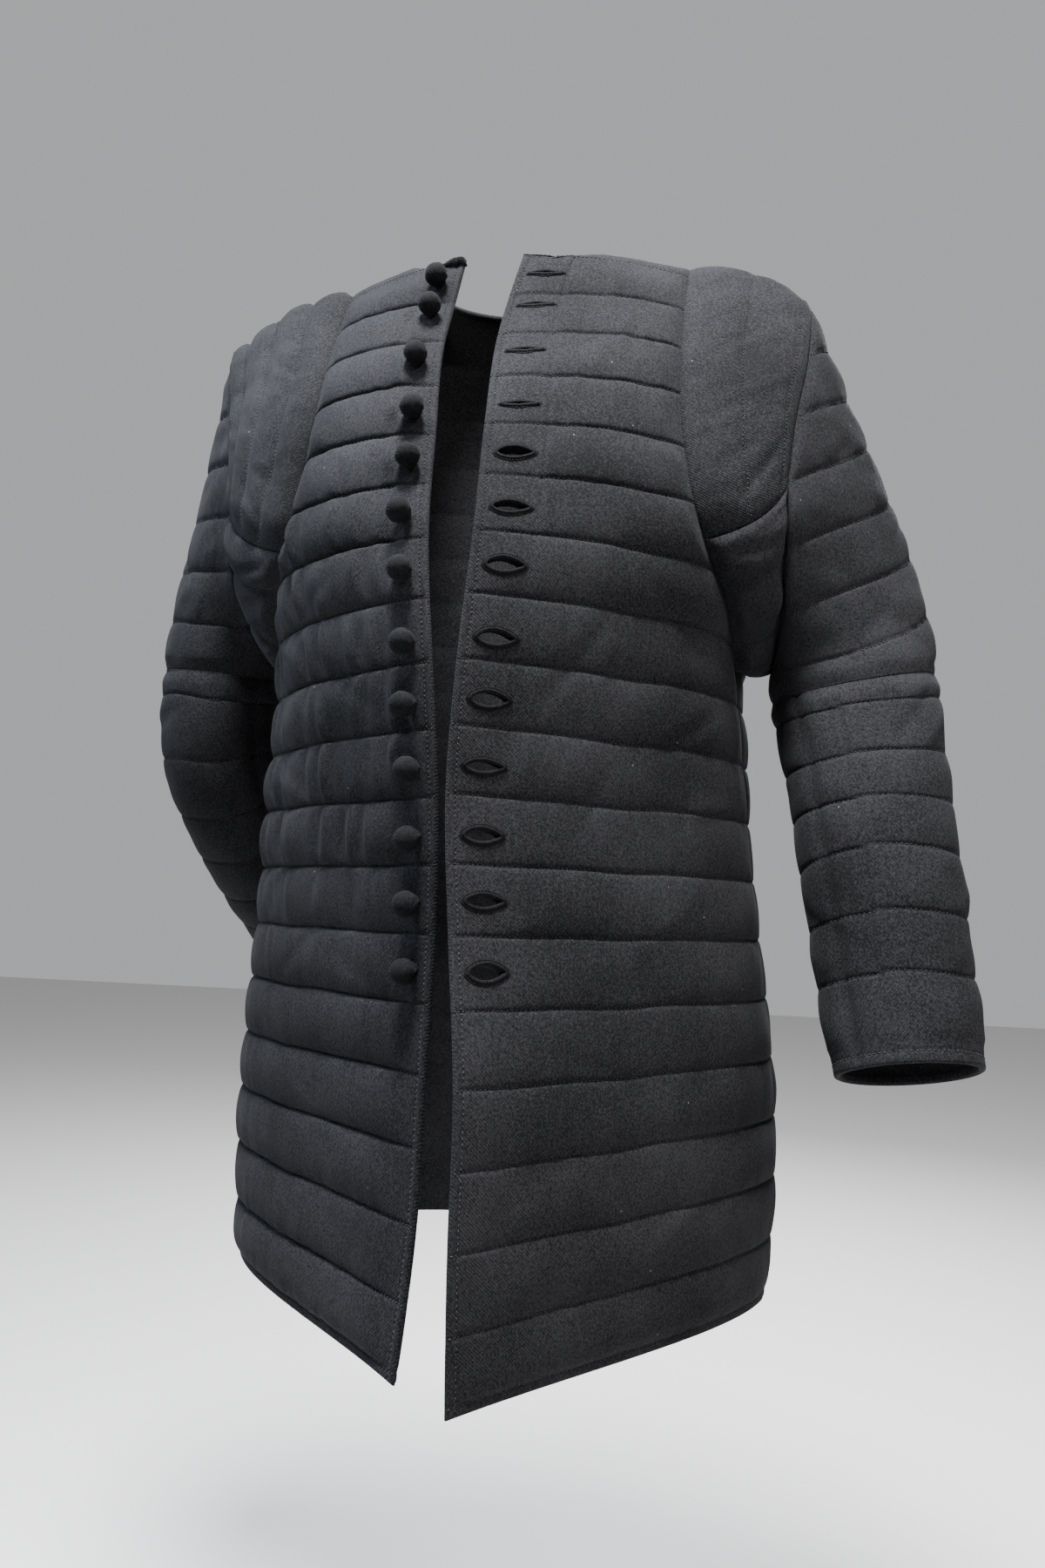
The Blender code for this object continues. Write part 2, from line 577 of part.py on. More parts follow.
def add_button(number, row, front, material, collection):
    """A covered ball on a gathered shank, turned about the line square to the cloth."""
    radius = BUTTON_BALL / 2
    neck = BUTTON_SHANK / 2
    first = math.asin(neck / radius)
    profile = [(0.0, BUTTON_STANDOFF + radius)]
    for step in range(1, 7):
        angle = math.pi * step / 7
        if angle < math.pi - first:
            profile.append((radius * math.sin(angle), BUTTON_STANDOFF + radius * math.cos(angle)))
    profile.append((neck, BUTTON_STANDOFF - radius * math.cos(first)))
    profile.append((neck, 0.0))
    profile.append((0.0, 0.0))
    mesh = bmesh.new()
    line = [mesh.verts.new((x, 0, z)) for x, z in profile]
    for a, b in zip(line, line[1:]):
        mesh.edges.new((a, b))
    button = mesh_object(f"button_{number:02d}", mesh, material, collection)
    turn = button.modifiers.new("Turn", "SCREW")
    turn.steps = turn.render_steps = BUTTON_SIDES
    turn.use_merge_vertices = True
    turn.merge_threshold = 0.00005
    button.matrix_world = lift_clear(place_on_front(row, BUTTON_INSET, -1), front)
    return button


def cut_buttonhole(front, number, row, gape, cutters):
    """An almond-shaped slot through the wall, cut by a prism that stays in the cutters."""
    half = HOLE_LENGTH / 2
    outline = [(-half, 0.0)]
    for x, y in ((-0.5, 0.8), (0.0, 1.0), (0.5, 0.8)):
        outline.append((x * HOLE_LENGTH / 2, y * gape / 2))
    outline.append((half, 0.0))
    outline += [(x, -y) for x, y in outline[-2:0:-1]]
    mesh = bmesh.new()
    low, high = ([mesh.verts.new((x, y, z)) for x, y in outline] for z in (-0.014, 0.008))
    mesh.faces.new(low)
    mesh.faces.new(high)
    for i, _ in enumerate(outline):
        n = (i + 1) % len(outline)
        mesh.faces.new((low[i], low[n], high[n], high[i]))
    bmesh.ops.recalc_face_normals(mesh, faces=mesh.faces)
    cutter = mesh_object(f"buttonhole_cutter_{number:02d}", mesh, front.data.materials[0], cutters)
    cutter.matrix_world = place_on_front(row, HOLE_INSET, 1)
    cutter.hide_render = True
    cutter.display_type = "WIRE"
    cut = front.modifiers.new(f"Buttonhole {number:02d}", "BOOLEAN")
    cut.operation = "DIFFERENCE"
    cut.solver = "EXACT"
    cut.object = cutter


# ---- the coat -----------------------------------------------------------------------------------
def coat_pieces():
    front_seams = ("last_row", "last_column")
    back_seams = ("last_row", "first_column", "last_column")
    strip_seams = ("first_row", "last_row", "first_column", "last_column")
    pieces = [Piece("back", *back_grid(), back_seams)]
    strips = []
    sleeves = []
    for word, side in (("left", 1), ("right", -1)):
        pieces.append(Piece(f"front_{word}", *front_grid(side), front_seams))
        shoulder = Piece(f"shoulder_{word}", *shoulder_grid(side), strip_seams)
        underarm = Piece(f"underarm_{word}", *underarm_grid(side), strip_seams)
        strips += [shoulder, underarm]
        ring = armhole_ring(shoulder.grid, underarm.grid)
        upper = upper_sleeve_grid(ring, side)
        sleeves.append(Piece(f"upper_sleeve_{word}", *upper, ("first_row", "last_row"), closed=True))
        lower = lower_sleeve_grid(ring, side)
        sleeves.append(Piece(f"lower_sleeve_{word}", *lower, ("first_row",), closed=True))
    pieces += strips + sleeves
    share_seam_normals(pieces)
    return pieces


def main():
    for item in list(bpy.data.objects):
        bpy.data.objects.remove(item)
    coat = bpy.data.collections.new(NAME)
    cutters = bpy.data.collections.new("cutters")
    for collection in (coat, cutters):
        bpy.context.scene.collection.children.link(collection)
    objects = {}
    for piece in coat_pieces():
        objects[piece.name] = wall_object(piece, new_material(f"{piece.name}_cloth"), coat)
    for number, (row, gape) in enumerate(CLOSURES, start=1):
        cloth = new_material(f"button_{number:02d}_cloth")
        add_button(number, row, objects["front_right"], cloth, coat)
        cut_buttonhole(objects["front_left"], number, row, gape, cutters)


main()
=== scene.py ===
"""Visual model of a quilted arming coat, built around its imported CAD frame.

Metres, in the frame's own axes: the wearer faces -Y and the wearer's left is +X. A side is 1 for
the wearer's left and -1 for the right. A height on the torso is a row: row 0 is the hem, and each
whole row is a line of quilting, PITCH above the last. Section and crease tables are in mm.
"""
import math

import bmesh
import bpy
import numpy as np
from mathutils import Matrix, Vector


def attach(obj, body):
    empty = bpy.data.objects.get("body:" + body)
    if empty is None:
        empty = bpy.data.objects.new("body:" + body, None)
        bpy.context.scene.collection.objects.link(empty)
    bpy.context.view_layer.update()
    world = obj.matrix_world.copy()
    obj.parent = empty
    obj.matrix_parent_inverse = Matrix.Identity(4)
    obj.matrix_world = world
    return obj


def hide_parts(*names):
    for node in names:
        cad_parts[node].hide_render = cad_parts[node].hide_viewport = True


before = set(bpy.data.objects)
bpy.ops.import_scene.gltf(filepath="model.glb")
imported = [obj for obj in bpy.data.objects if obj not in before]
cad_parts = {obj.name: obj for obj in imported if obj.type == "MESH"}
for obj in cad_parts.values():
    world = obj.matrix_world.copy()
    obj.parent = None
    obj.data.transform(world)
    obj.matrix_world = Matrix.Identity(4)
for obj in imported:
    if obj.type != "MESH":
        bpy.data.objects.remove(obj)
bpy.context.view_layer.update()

# ---- driving dimensions
PITCH = 0.0475  # from one quilting line to the next
HEM_Z = -0.888
ROWS_LEVEL = 18.0  # the last level quilting line, just under the neck corners
ROW_TOP = 19.0  # neck edge and shoulder seam
ROW_SIDE = 10.6  # top of the side seam, where the underarm piece begins
ROW_ARM = 12.45  # foot of the shoulder piece
WALL = 0.006  # quilted wall: two cloths with wadding between
BUTTON_BALL = 0.018  # diameter of a covered ball button
BUTTON_SHANK = 0.0055
BUTTON_STANDOFF = 0.0105  # from the cloth to the centre of the ball
BUTTON_INSET = 0.016  # from the right front edge to the shanks
HOLE_INSET = 0.0255  # from the left front edge to the middle of a buttonhole
HOLE_LENGTH = 0.026

# ---- torso sections for one half, where x is the distance from the middle plane
# Front edge of each side: row, x, y.
EDGES = {1: (
    (0, 32, -237), (2, 31, -242), (4, 29, -236), (6, 15, -212), (8, 5, -198), (10, 8, -196),
    (12, 13, -187), (14, 10, -155), (16, 8, -114), (17, 11, -90), (18, 18, -72),
), -1: (
    (0, 16, -200), (2, 9, -191), (4, 9, -181), (6, 7, -179), (8, 8, -183), (10, 15, -187),
    (12, 24, -178), (14, 31, -144), (16, 37, -110), (17, 36, -88), (18, 32, -73),
)}
# The two inner handles of the front's section curve: row, near x and y, far x and y.
FRONT = (
    (0, 98, -150, 208, -50), (4, 98, -150, 214, -58), (8, 80, -150, 196, -75),
    (10, 80, -160, 180, -92), (12, 75, -168, 152, -128), (14, 66, -150, 126, -128),
    (16, 60, -112, 116, -100), (17, 58, -86, 114, -76), (18, 52, -68, 108, -52),
)
# The back's section curve: row, depth at the middle, near x, far x and y.
BACK = (
    (0, 205, 120, 234, 140), (4, 185, 115, 236, 125), (8, 165, 110, 220, 108),
    (10, 160, 110, 226, 112), (12, 158, 105, 205, 128), (14, 158, 85, 140, 144),
    (16, 149, 75, 124, 134), (17, 137, 70, 120, 120), (18, 115, 60, 114, 92),
)
# Seams: row, x, y.
SIDE_SEAM = (
    (0, 226, 26), (2, 233, 28), (4, 230, 24), (6, 219, 14), (8, 209, 4), (ROW_SIDE, 198, -18),
)
FRONT_SEAM = (
    (ROW_SIDE, 198, -18), (11.6, 191, -54), (ROW_ARM, 173, -90), (14, 157, -97), (16, 152, -75),
    (17, 153, -51), (18, 155, -23),
)
BACK_SEAM = (
    (ROW_SIDE, 198, -18), (11.4, 212, 52), (ROW_ARM, 196, 104), (14, 176, 115), (16, 164, 104),
    (17, 160, 88), (18, 158, 58),
)
NECK_CORNERS = {1: (0.02, -0.07, -0.031), -1: (0.031, -0.071, -0.036)}
NECK_SIDE = (0.086, 0.006, -0.004)
NAPE = (0.0, 0.084, 0.006)
SHOULDER_TOP = (0.157, 0.006, -0.014)
NECK_DIP = 0.006  # how far the neck edge sags between its corner and its side
NECK_SHARE = 0.5  # share of the top row that is neck edge; the rest is shoulder seam

# ---- armholes: t from the front foot of the shoulder piece (0) to its back foot (1), then x, y, z
OVER_ARM = {1: (
    (0, 236, -85, -255), (0.2, 244, -74, -191), (0.36, 255, -53, -128), (0.44, 259, -31, -82),
    (0.5, 261, 6, -59), (0.56, 262, 48, -78), (0.64, 260, 77, -122), (0.8, 250, 101, -190),
    (1, 243, 108, -255),
), -1: (
    (0, 256, -26, -236), (0.2, 259, -23, -185), (0.36, 268, -15, -128), (0.44, 282, 0, -83),
    (0.5, 293, 28, -59), (0.56, 298, 61, -77), (0.64, 298, 86, -122), (0.8, 286, 114, -190),
    (1, 272, 128, -250),
)}
UNDER_ARM = {1: (
    (0, 236, -85, -255), (0.18, 234, -72, -300), (0.36, 234, -46, -337), (0.5, 229, 4, -368),
    (0.66, 235, 57, -340), (0.84, 242, 94, -300), (1, 243, 108, -255),
), -1: (
    (0, 256, -26, -236), (0.18, 254, -19, -270), (0.36, 250, 2, -302), (0.5, 247, 38, -322),
    (0.66, 253, 80, -312), (0.84, 264, 114, -284), (1, 272, 128, -250),
)}
SHOULDER_BULGE = 0.013  # crown of the shoulder piece across its width
UNDERARM_BULGE = 0.007
STRIP_POLE = (0.14, 0.01, -0.22)

# ---- lower sleeves: t from the elbow seam (0) to the cuff (1), x, y, z, half width, half depth
SLEEVES = {1: (
    (0, 294, 12, -390, 66, 66), (0.24, 301, -10, -462, 61, 63),
    (0.5, 307, -34, -540, 58.5, 58), (0.75, 313.5, -56, -616, 55, 53),
    (1, 320.5, -80, -692, 52, 49),
), -1: (
    (0, 302, 90, -362, 64, 66), (0.26, 305, 104, -440, 63, 66), (0.5, 292, 142, -510, 59, 60),
    (0.75, 275, 184, -567, 55, 55), (1, 256, 226, -622, 52, 50),
)}
ARM_AXIS = {1: (0.24, 0.05, -0.97), -1: (0.1, 0.16, -0.98)}  # the way a sleeve leaves its armhole
SLEEVE_SWELL = 0.04  # how far it swells out past the armhole as it does
ELBOW_DIP = (0.0035, 0.0245, -0.0055)  # the left elbow seam hangs: evenly, at the front, outside
ELBOW_DIP_END = 0.5  # where down the lower sleeve that has faded
SLEEVE_REACH = 0.36  # handles of its long curves, as a share of their length

# ---- buttons and buttonholes: the row of each, and how far each buttonhole gapes in metres
CLOSURES = (
    (17.50, 0.0022), (16.70, 0.0022), (15.55, 0.0022), (14.38, 0.0022), (13.40, 0.0088),
    (12.42, 0.0085), (11.46, 0.01), (10.34, 0.01), (9.42, 0.01), (8.43, 0.0078),
    (7.42, 0.009), (6.48, 0.0085), (5.50, 0.0105),
)

# ---- the cloth's surface
NOISE_CELLS = 64
PUFF_POWER = 0.48  # how full the channels are: lower is fuller
TORSO_PUFF = {0: 0.0036, 1: 0.0036, -1: 0.0052}  # back, left front, and a fuller right front
SHOULDER_PUFF = {1: 0.0014, -1: 0.006}
UNDERARM_PUFF = 0.0075
UPPER_SLEEVE_PUFF = 0.0027
SLEEVE_PUFF = 0.0021
EDGE_ROUND = 0.0022  # a turned edge is rounded over this far
EDGE_SINK = 0.0017
EDGE_THIN = 0.0006  # and flatter as far as its topstitching
STITCH_SINK = 0.0007
GROOVE = 0.0011  # the narrow groove that quilting stitches pull
GROOVE_WIDTH = 0.0012
SEAM_SINK = 0.001
SEAM_WIDTH = 0.003
EDGE_STITCH = 0.006
HEM_STITCH = 0.007
CUFF_STITCH = 0.008
FACING = 0.046  # width of the facing behind the left front edge
ARMHOLE_STITCH = 0.012
STITCH_PITCH = 0.0036
STITCH_SIZE = (0.0012, 0.00055, 0.0009)

# ---- mesh steps
ROWS_A_CHANNEL = 18
CROWDING = 0.65
NEAR_EDGE = (0, 0.0007, 0.0016, 0.003, 0.0046, 0.0056, 0.006, 0.0064, 0.0074, 0.009, 0.0115, 0.015,
             0.02)
NEAR_SEAM = (0.006, 0.003, 0.0015, 0.0005, 0)
FRONT_COLUMNS = 118
BACK_COLUMNS = 101
SHOULDER_COLUMNS = 36
UNDERARM_COLUMNS = 30
UPPER_SLEEVE_ROWS = 130
LOWER_ROWS_A_CHANNEL = 16

# ---- channels: shares of the shoulder pieces' width, levels up the upper sleeves, lower sleeves' t
SHOULDER_LINES = {1: (0, 0.48, 1), -1: (0, 0.28, 0.55, 0.8, 1)}
UNDERARM_CHANNELS = 6
UPPER_SLANT = {1: (0.3, 0.45), -1: (0.12, 0.1)}  # how fast a line rises outwards and backwards
UPPER_LINES = {
    1: (-0.045, -0.092, -0.142, -0.192, -0.246, -0.3, -0.352, -0.39),
    -1: (-0.075, -0.125, -0.175, -0.225, -0.275, -0.325, -0.372),
}
LOWER_LINES = (0.0, 0.075, 0.235, 0.375, 0.515, 0.665, 0.805, 0.955, 1.0)
SLEEVE_LENGTH = 0.31
SLEEVE_GIRTH = 0.42
SLEEVE_RADIUS = 0.058
SLEEVE_SEAM_ANGLE = 139

# ---- creases: from and to, across and up the cloth, then width and height
CREASES = {"front_left": (
    (60, 445, 110, 520, 9, -1.6), (85, 330, 130, 430, 12, -1.2), (120, 255, 215, 330, 10, 1.1),
    (20, 110, 95, 150, 13, -1.1), (150, 60, 240, 115, 11, 1.2), (60, 215, 160, 185, 9, -0.9),
    (130, 560, 205, 500, 11, -1.5), (110, 660, 190, 640, 8, 1), (160, 420, 235, 470, 8, -1.3),
    (180, 380, 250, 390, 7, 1), (75, 720, 110, 800, 12, 1), (30, 290, 75, 300, 10, 1),
), "front_right": (
    (45, 440, 130, 500, 9, -1.5), (60, 330, 150, 345, 11, 1.2), (30, 235, 120, 275, 10, -1.2),
    (100, 130, 190, 180, 13, 1.1), (140, 390, 210, 430, 8, -1.3),
    (80, 560, 160, 520, 10, -1.4), (120, 300, 200, 240, 9, -1.1), (50, 60, 140, 95, 12, -1),
    (60, 640, 130, 700, 9, 1), (150, 500, 215, 530, 8, 1.2),
), "back": (
    (-180, 420, -60, 450, 12, -1.4), (70, 430, 190, 405, 11, -1.5),
    (-120, 480, 10, 500, 10, 1.2), (20, 370, 140, 350, 12, 1.1),
    (-200, 300, -90, 330, 10, -1.1), (90, 260, 210, 300, 13, 1.2),
    (-150, 590, -80, 660, 11, -1.3), (90, 670, 160, 590, 10, -1.2), (-90, 160, 20, 200, 12, 1),
    (50, 90, 150, 130, 11, -1), (-210, 100, -130, 140, 10, 1.1), (-30, 740, 40, 700, 12, 0.9),
), "shoulder": (
    (30, 20, 75, 50, 6, -1.4), (15, 55, 60, 65, 7, -1), (20, 160, 80, 190, 9, -1),
    (35, 300, 75, 280, 8, 1.1), (15, 420, 70, 440, 7, -1.3), (30, 500, 80, 480, 6, -1.2),
), "underarm": (
    (12, 12, 60, 30, 5, -2.4), (16, 30, 62, 44, 6, 1.8), (10, 45, 55, 62, 5, -2.6),
    (20, 66, 60, 80, 7, 1.6), (12, 85, 58, 95, 6, -2), (15, 140, 60, 128, 7, -1.8),
    (20, 165, 62, 172, 6, 1.5),
), "upper_sleeve_left": (
    (50, 60, 110, 100, 9, -1.5), (90, 150, 150, 120, 8, 1.2), (30, 170, 85, 210, 9, -1.3),
    (110, 190, 170, 215, 7, -1.5), (190, 70, 250, 110, 9, -1.3), (250, 150, 320, 120, 10, 1.3),
    (300, 60, 360, 110, 9, -1.4), (340, 170, 400, 200, 8, -1.2),
), "upper_sleeve_right": (
    (40, 90, 110, 70, 9, 1.4), (80, 170, 150, 200, 9, -1.5), (130, 110, 190, 140, 8, -1.3),
    (220, 180, 280, 150, 10, 1.2), (290, 100, 350, 70, 9, -1.4), (330, 200, 400, 220, 8, -1.2),
    (10, 230, 70, 250, 8, -1.3),
), "lower_sleeve_left": (
    (30, 60, 85, 12, 7, -2.2), (50, 70, 105, 30, 8, 1.8), (120, 110, 170, 140, 8, -1.2),
    (60, 200, 120, 180, 9, 1.1), (220, 90, 290, 60, 9, -1.4), (270, 180, 330, 210, 9, -1.2),
    (30, 250, 80, 235, 9, -0.9),
), "lower_sleeve_right": (
    (40, 40, 110, 65, 8, -1.8), (80, 110, 150, 95, 8, 1.4), (20, 150, 90, 180, 9, -1.3),
    (200, 60, 270, 85, 9, -1.3), (260, 160, 330, 140, 9, 1.2), (120, 220, 190, 240, 9, -1),
)}

# ---- cloths: name, dark and light colour, whether its weave follows the cloth, and its depth
CLOTHS = (
    ("charcoal_twill", (0.0036, 0.0037, 0.0043), (0.015, 0.0151, 0.017), True, 0.35),
    ("button_twill", (0.0028, 0.0029, 0.0034), (0.0065, 0.0066, 0.0076), False, 0.35),
    ("charcoal_thread", (0.016, 0.0165, 0.018), (0.03, 0.031, 0.034), False, 0.1),
    ("buttonhole_thread", (0.0024, 0.0024, 0.0028), (0.007, 0.007, 0.008), False, 0.3),
)

# ---- stage: name, place, aim, size, power and colour of each lamp
FLOOR_Z = -1.45
WORLD_STRENGTH = 0.55
CAMERA_PLACE = (0.187, -0.88, -0.585)
CAMERA_LENS = 24
CAMERA_HEADING = 10.81
CAMERA_TILT = 6.89
CAMERA_ROLL = 1.9
LAMPS = (
    ("key", (1.4, -1.3, 1.0), (0.05, 0, -0.4), 0.8, 60, (1.0, 0.97, 0.93)),
    ("side", (-1.3, -0.45, 1.1), (-0.1, 0, -0.4), 0.6, 75, (0.66, 0.8, 1.0)),
    ("back", (0.5, 2.1, 1.0), (0, 0, -0.4), 1.4, 130, (0.96, 0.98, 1.0)),
    ("top", (0.0, -0.72, 1.30), (0, 0, -0.4), 0.5, 270, (1.0, 1.0, 1.0)),
)


# ---- curves and sections
def values_at(table, at):
    """Smooth values in metres of a table's columns, at places along its first column."""
    table = np.array(table, float)
    knots, values = table[:, 0], table[:, 1:] / 1000
    at = np.clip(at, knots[0], knots[-1])
    step = np.diff(knots)[:, None]
    slope = np.diff(values, axis=0) / step
    tangent = np.empty_like(values)
    tangent[1:-1] = (slope[:-1] * step[1:] + slope[1:] * step[:-1]) / (step[:-1] + step[1:])
    tangent[0] = 1.5 * slope[0] - 0.5 * tangent[1]
    tangent[-1] = 1.5 * slope[-1] - 0.5 * tangent[-2]
    i = np.clip(np.searchsorted(knots, at, side="right") - 1, 0, len(knots) - 2)
    t = ((at - knots[i]) / step[i, 0])[..., None]
    rise = (2 * t**3 - 3 * t**2 + 1) * values[i] + (3 * t**2 - 2 * t**3) * values[i + 1]
    lean = (t**3 - 2 * t**2 + t) * tangent[i] + (t**3 - t**2) * tangent[i + 1]
    return np.moveaxis(rise + step[i] * lean, -1, 0)


def points(x, y, z):
    return np.stack(np.broadcast_arrays(x, y, z), axis=-1)


def unit(vectors):
    return vectors / np.linalg.norm(vectors, axis=-1, keepdims=True)


def blend_curve(a, b, c, d, s):
    """Cubic curve from a to d with handles b and c."""
    s = np.asarray(s)[..., None]
    return (1 - s)**3 * a + 3 * s * (1 - s)**2 * b + 3 * s**2 * (1 - s) * c + s**3 * d


def turns(count):
    """Even angles round a circle."""
    return np.linspace(0, 2 * math.pi, count, endpoint=False)


def arch(a, b, c, s):
    """Curve from a to c with the one handle b."""
    return (1 - s)**2 * a + 2 * s * (1 - s) * b + s**2 * c


def outer_seam(row, upper):
    """The side seam, and the front or back edge of the arm pieces above it."""
    level = np.minimum(row, ROWS_LEVEL)
    below = values_at(SIDE_SEAM, np.minimum(level, ROW_SIDE))
    above = values_at(upper, np.maximum(level, ROW_SIDE))
    return points(*np.where(level <= ROW_SIDE, below, above), HEM_Z + PITCH * level)


def top_row(s, corner, dip):
    """The neck edge from its corner or the nape to the neck's side, then the shoulder seam."""
    corner, neck = np.array(corner), np.array(NECK_SIDE)
    turn = np.clip(s / NECK_SHARE, 0, 1) * math.pi / 2
    fall = 1 - np.cos(turn)
    edge = corner + (neck - corner) * points(np.sin(turn), fall, fall)
    edge[..., 2] -= dip * np.sin(2 * turn)
    share = np.clip((s - NECK_SHARE) / (1 - NECK_SHARE), 0, 1)[..., None]
    return np.where((s < NECK_SHARE)[..., None], edge, neck + (np.array(SHOULDER_TOP) - neck) * share)


def round_over(row, below, top):
    """Carries the last level row over the top of the shoulder to the top row."""
    (x, y, _), (top_x, top_y, top_z) = np.moveaxis(below, -1, 0), np.moveaxis(top, -1, 0)
    handle = points((x + top_x) / 2, 0.6 * y + 0.4 * top_y, top_z)
    return arch(below, handle, top, np.clip(row - ROWS_LEVEL, 0, 1)[..., None])


def front_point(row, s, side):
    """Outer face of a front."""
    row, s = np.broadcast_arrays(row, s)
    level = np.minimum(row, ROWS_LEVEL)
    z = HEM_Z + PITCH * level
    edge, left = (points(*values_at(EDGES[n], level), z) for n in (side, 1))
    near_x, near_y, far_x, far_y = values_at(FRONT, level)
    near = points(near_x, near_y, z) + 0.67 * (edge - left)
    far = points(far_x, far_y, z) + 0.2 * (edge - left)
    below = blend_curve(edge, near, far, outer_seam(level, FRONT_SEAM), s)
    return round_over(row, below, top_row(s, NECK_CORNERS[side], NECK_DIP)) * (side, 1, 1)


def back_point(row, s):
    """Outer face of the back: s is -1 at the right seam, 0 at the middle and 1 at the left."""
    row, s = np.broadcast_arrays(row, s)
    level = np.minimum(row, ROWS_LEVEL)
    z = HEM_Z + PITCH * level
    middle_y, near_x, far_x, far_y = values_at(BACK, level)
    half = np.abs(s)
    below = blend_curve(points(0, middle_y, z), points(near_x, middle_y, z), points(far_x, far_y, z),
                        outer_seam(level, BACK_SEAM), half)
    return round_over(row, below, top_row(half, NAPE, 0)) * points(np.where(s < 0, -1, 1), 1, 1)


def sleeve_course(t, shift, side):
    """The lower sleeve's middle line, which runs straight on past both ends."""
    at = t + shift
    inside = np.clip(at, 0, 1)
    course = points(*values_at(SLEEVES[side], inside)[:3])
    if shift == 0:
        return course
    end = points(*values_at(SLEEVES[side], inside - shift)[:3])
    return course + (course - end) * ((at - inside) / shift)[:, None]


def sleeve_rings(t, angles, side):
    """Rings square to the sleeve's course. Angle 0 is its outer side, 90 degrees its front."""
    t = np.asarray(t, float)
    centre, ahead, behind = (sleeve_course(t, shift, side) for shift in (0, 1e-3, -1e-3))
    tangent = unit(ahead - behind)
    outward = unit((1.0, 0, 0) - tangent * tangent[:, :1])
    forward = np.cross(outward, tangent)
    forward *= -np.sign(forward[:, 1:2])
    width, depth = values_at(SLEEVES[side], t)[3:, :, None, None]
    cos, sin = np.cos(angles)[None, :, None], np.sin(angles)[None, :, None]
    rings = centre[:, None] + width * cos * outward[:, None] + depth * sin * forward[:, None]
    if side > 0:
        fade = (1 - np.clip(t / ELBOW_DIP_END, 0, 1))[:, None]
        rings[..., 2] -= fade * (ELBOW_DIP[0] + ELBOW_DIP[1] * sin[..., 0] + ELBOW_DIP[2] * cos[..., 0])
    return rings * (side, 1, 1)


def ring_angles(ring):
    """The angle round the sleeve of each point of an armhole."""
    middle = (ring.max(axis=0) + ring.min(axis=0)) / 2
    reach = (ring.max(axis=0) - ring.min(axis=0)) / 2
    return np.arctan2((middle[1] - ring[:, 1]) / reach[1], (ring[:, 2] - middle[2]) / reach[2])


# ---- displacement helpers
def smooth(x, low, high):
    """0 below low, 1 above high, and an even ease between."""
    t = np.clip((x - low) / (high - low), 0, 1)
    return t * t * (3 - 2 * t)


def bell(away, width):
    return np.exp(-(away / width)**2)


def noise(u, v, cell_u, cell_v, seed):
    """Smooth noise from -1 to 1 with cells of the given size."""
    lattice = np.random.default_rng(seed).uniform(-1, 1, (NOISE_CELLS, NOISE_CELLS))
    x, y = np.broadcast_arrays(u / cell_u, v / cell_v)
    i, j = np.floor(x).astype(int), np.floor(y).astype(int)
    fx, fy = smooth(x - i, 0, 1), smooth(y - j, 0, 1)
    low, high = (lattice[i % NOISE_CELLS, (j + b) % NOISE_CELLS] * (1 - fx)
                 + lattice[(i + 1) % NOISE_CELLS, (j + b) % NOISE_CELLS] * fx for b in (0, 1))
    return low * (1 - fy) + high * fy


def creases(name, u, v):
    """Sum of a piece's soft troughs and ridges."""
    total = np.zeros(np.broadcast(u, v).shape)
    for *ends, width, height in CREASES[name]:
        from_u, from_v, to_u, to_v = np.array(ends) / 1000
        run_u, run_v = to_u - from_u, to_v - from_v
        length = math.hypot(run_u, run_v)
        t = ((u - from_u) * run_u + (v - from_v) * run_v) / length**2
        apart = ((u - from_u) * run_v - (v - from_v) * run_u) / length / (width / 1000)
        fade = np.sin(math.pi * np.clip(t, 0, 1))**0.7
        total += height / 1000 * fade * bell(apart, 1) * (1 + 0.35 * np.tanh(2 * apart))
    return total


def channel(place):
    """Height of a quilted channel: 0 on each whole number, 1 between."""
    return np.abs(np.sin(math.pi * place))**PUFF_POWER


def groove(place, pitch):
    """The narrow groove along a quilting line, with channels `pitch` wide."""
    inside = (place > 0.4) & (place < np.max(place) - 0.4)
    return GROOVE * bell((place - np.round(place)) * pitch, GROOVE_WIDTH) * inside


def turned_edge(away, stitch):
    """How far both faces sink into the wall near a turned, topstitched edge."""
    near = np.clip(away / EDGE_ROUND, 0, 1)
    rounding = EDGE_SINK * (1 - np.sqrt(1 - (1 - near)**2))
    thin = EDGE_THIN * (1 - smooth(away, stitch, stitch + 0.011))
    return rounding + thin + STITCH_SINK * bell(away - stitch, 0.001)


def seam_sink(away):
    """The shallow valley beside a seam."""
    return SEAM_SINK * bell(away, SEAM_WIDTH)


def run_lengths(grid, axis):
    """Distance along the grid from its start."""
    step = np.linalg.norm(np.diff(grid, axis=axis), axis=-1)
    zero = np.zeros_like(np.take(step, [0], axis=axis))
    return np.concatenate([zero, np.cumsum(step, axis=axis)], axis=axis)


def crowded(count):
    """Even shares of a channel, crowded towards its quilting lines."""
    even = np.linspace(0, 1, count, endpoint=False)
    return even - CROWDING * np.sin(2 * math.pi * even) / (2 * math.pi)


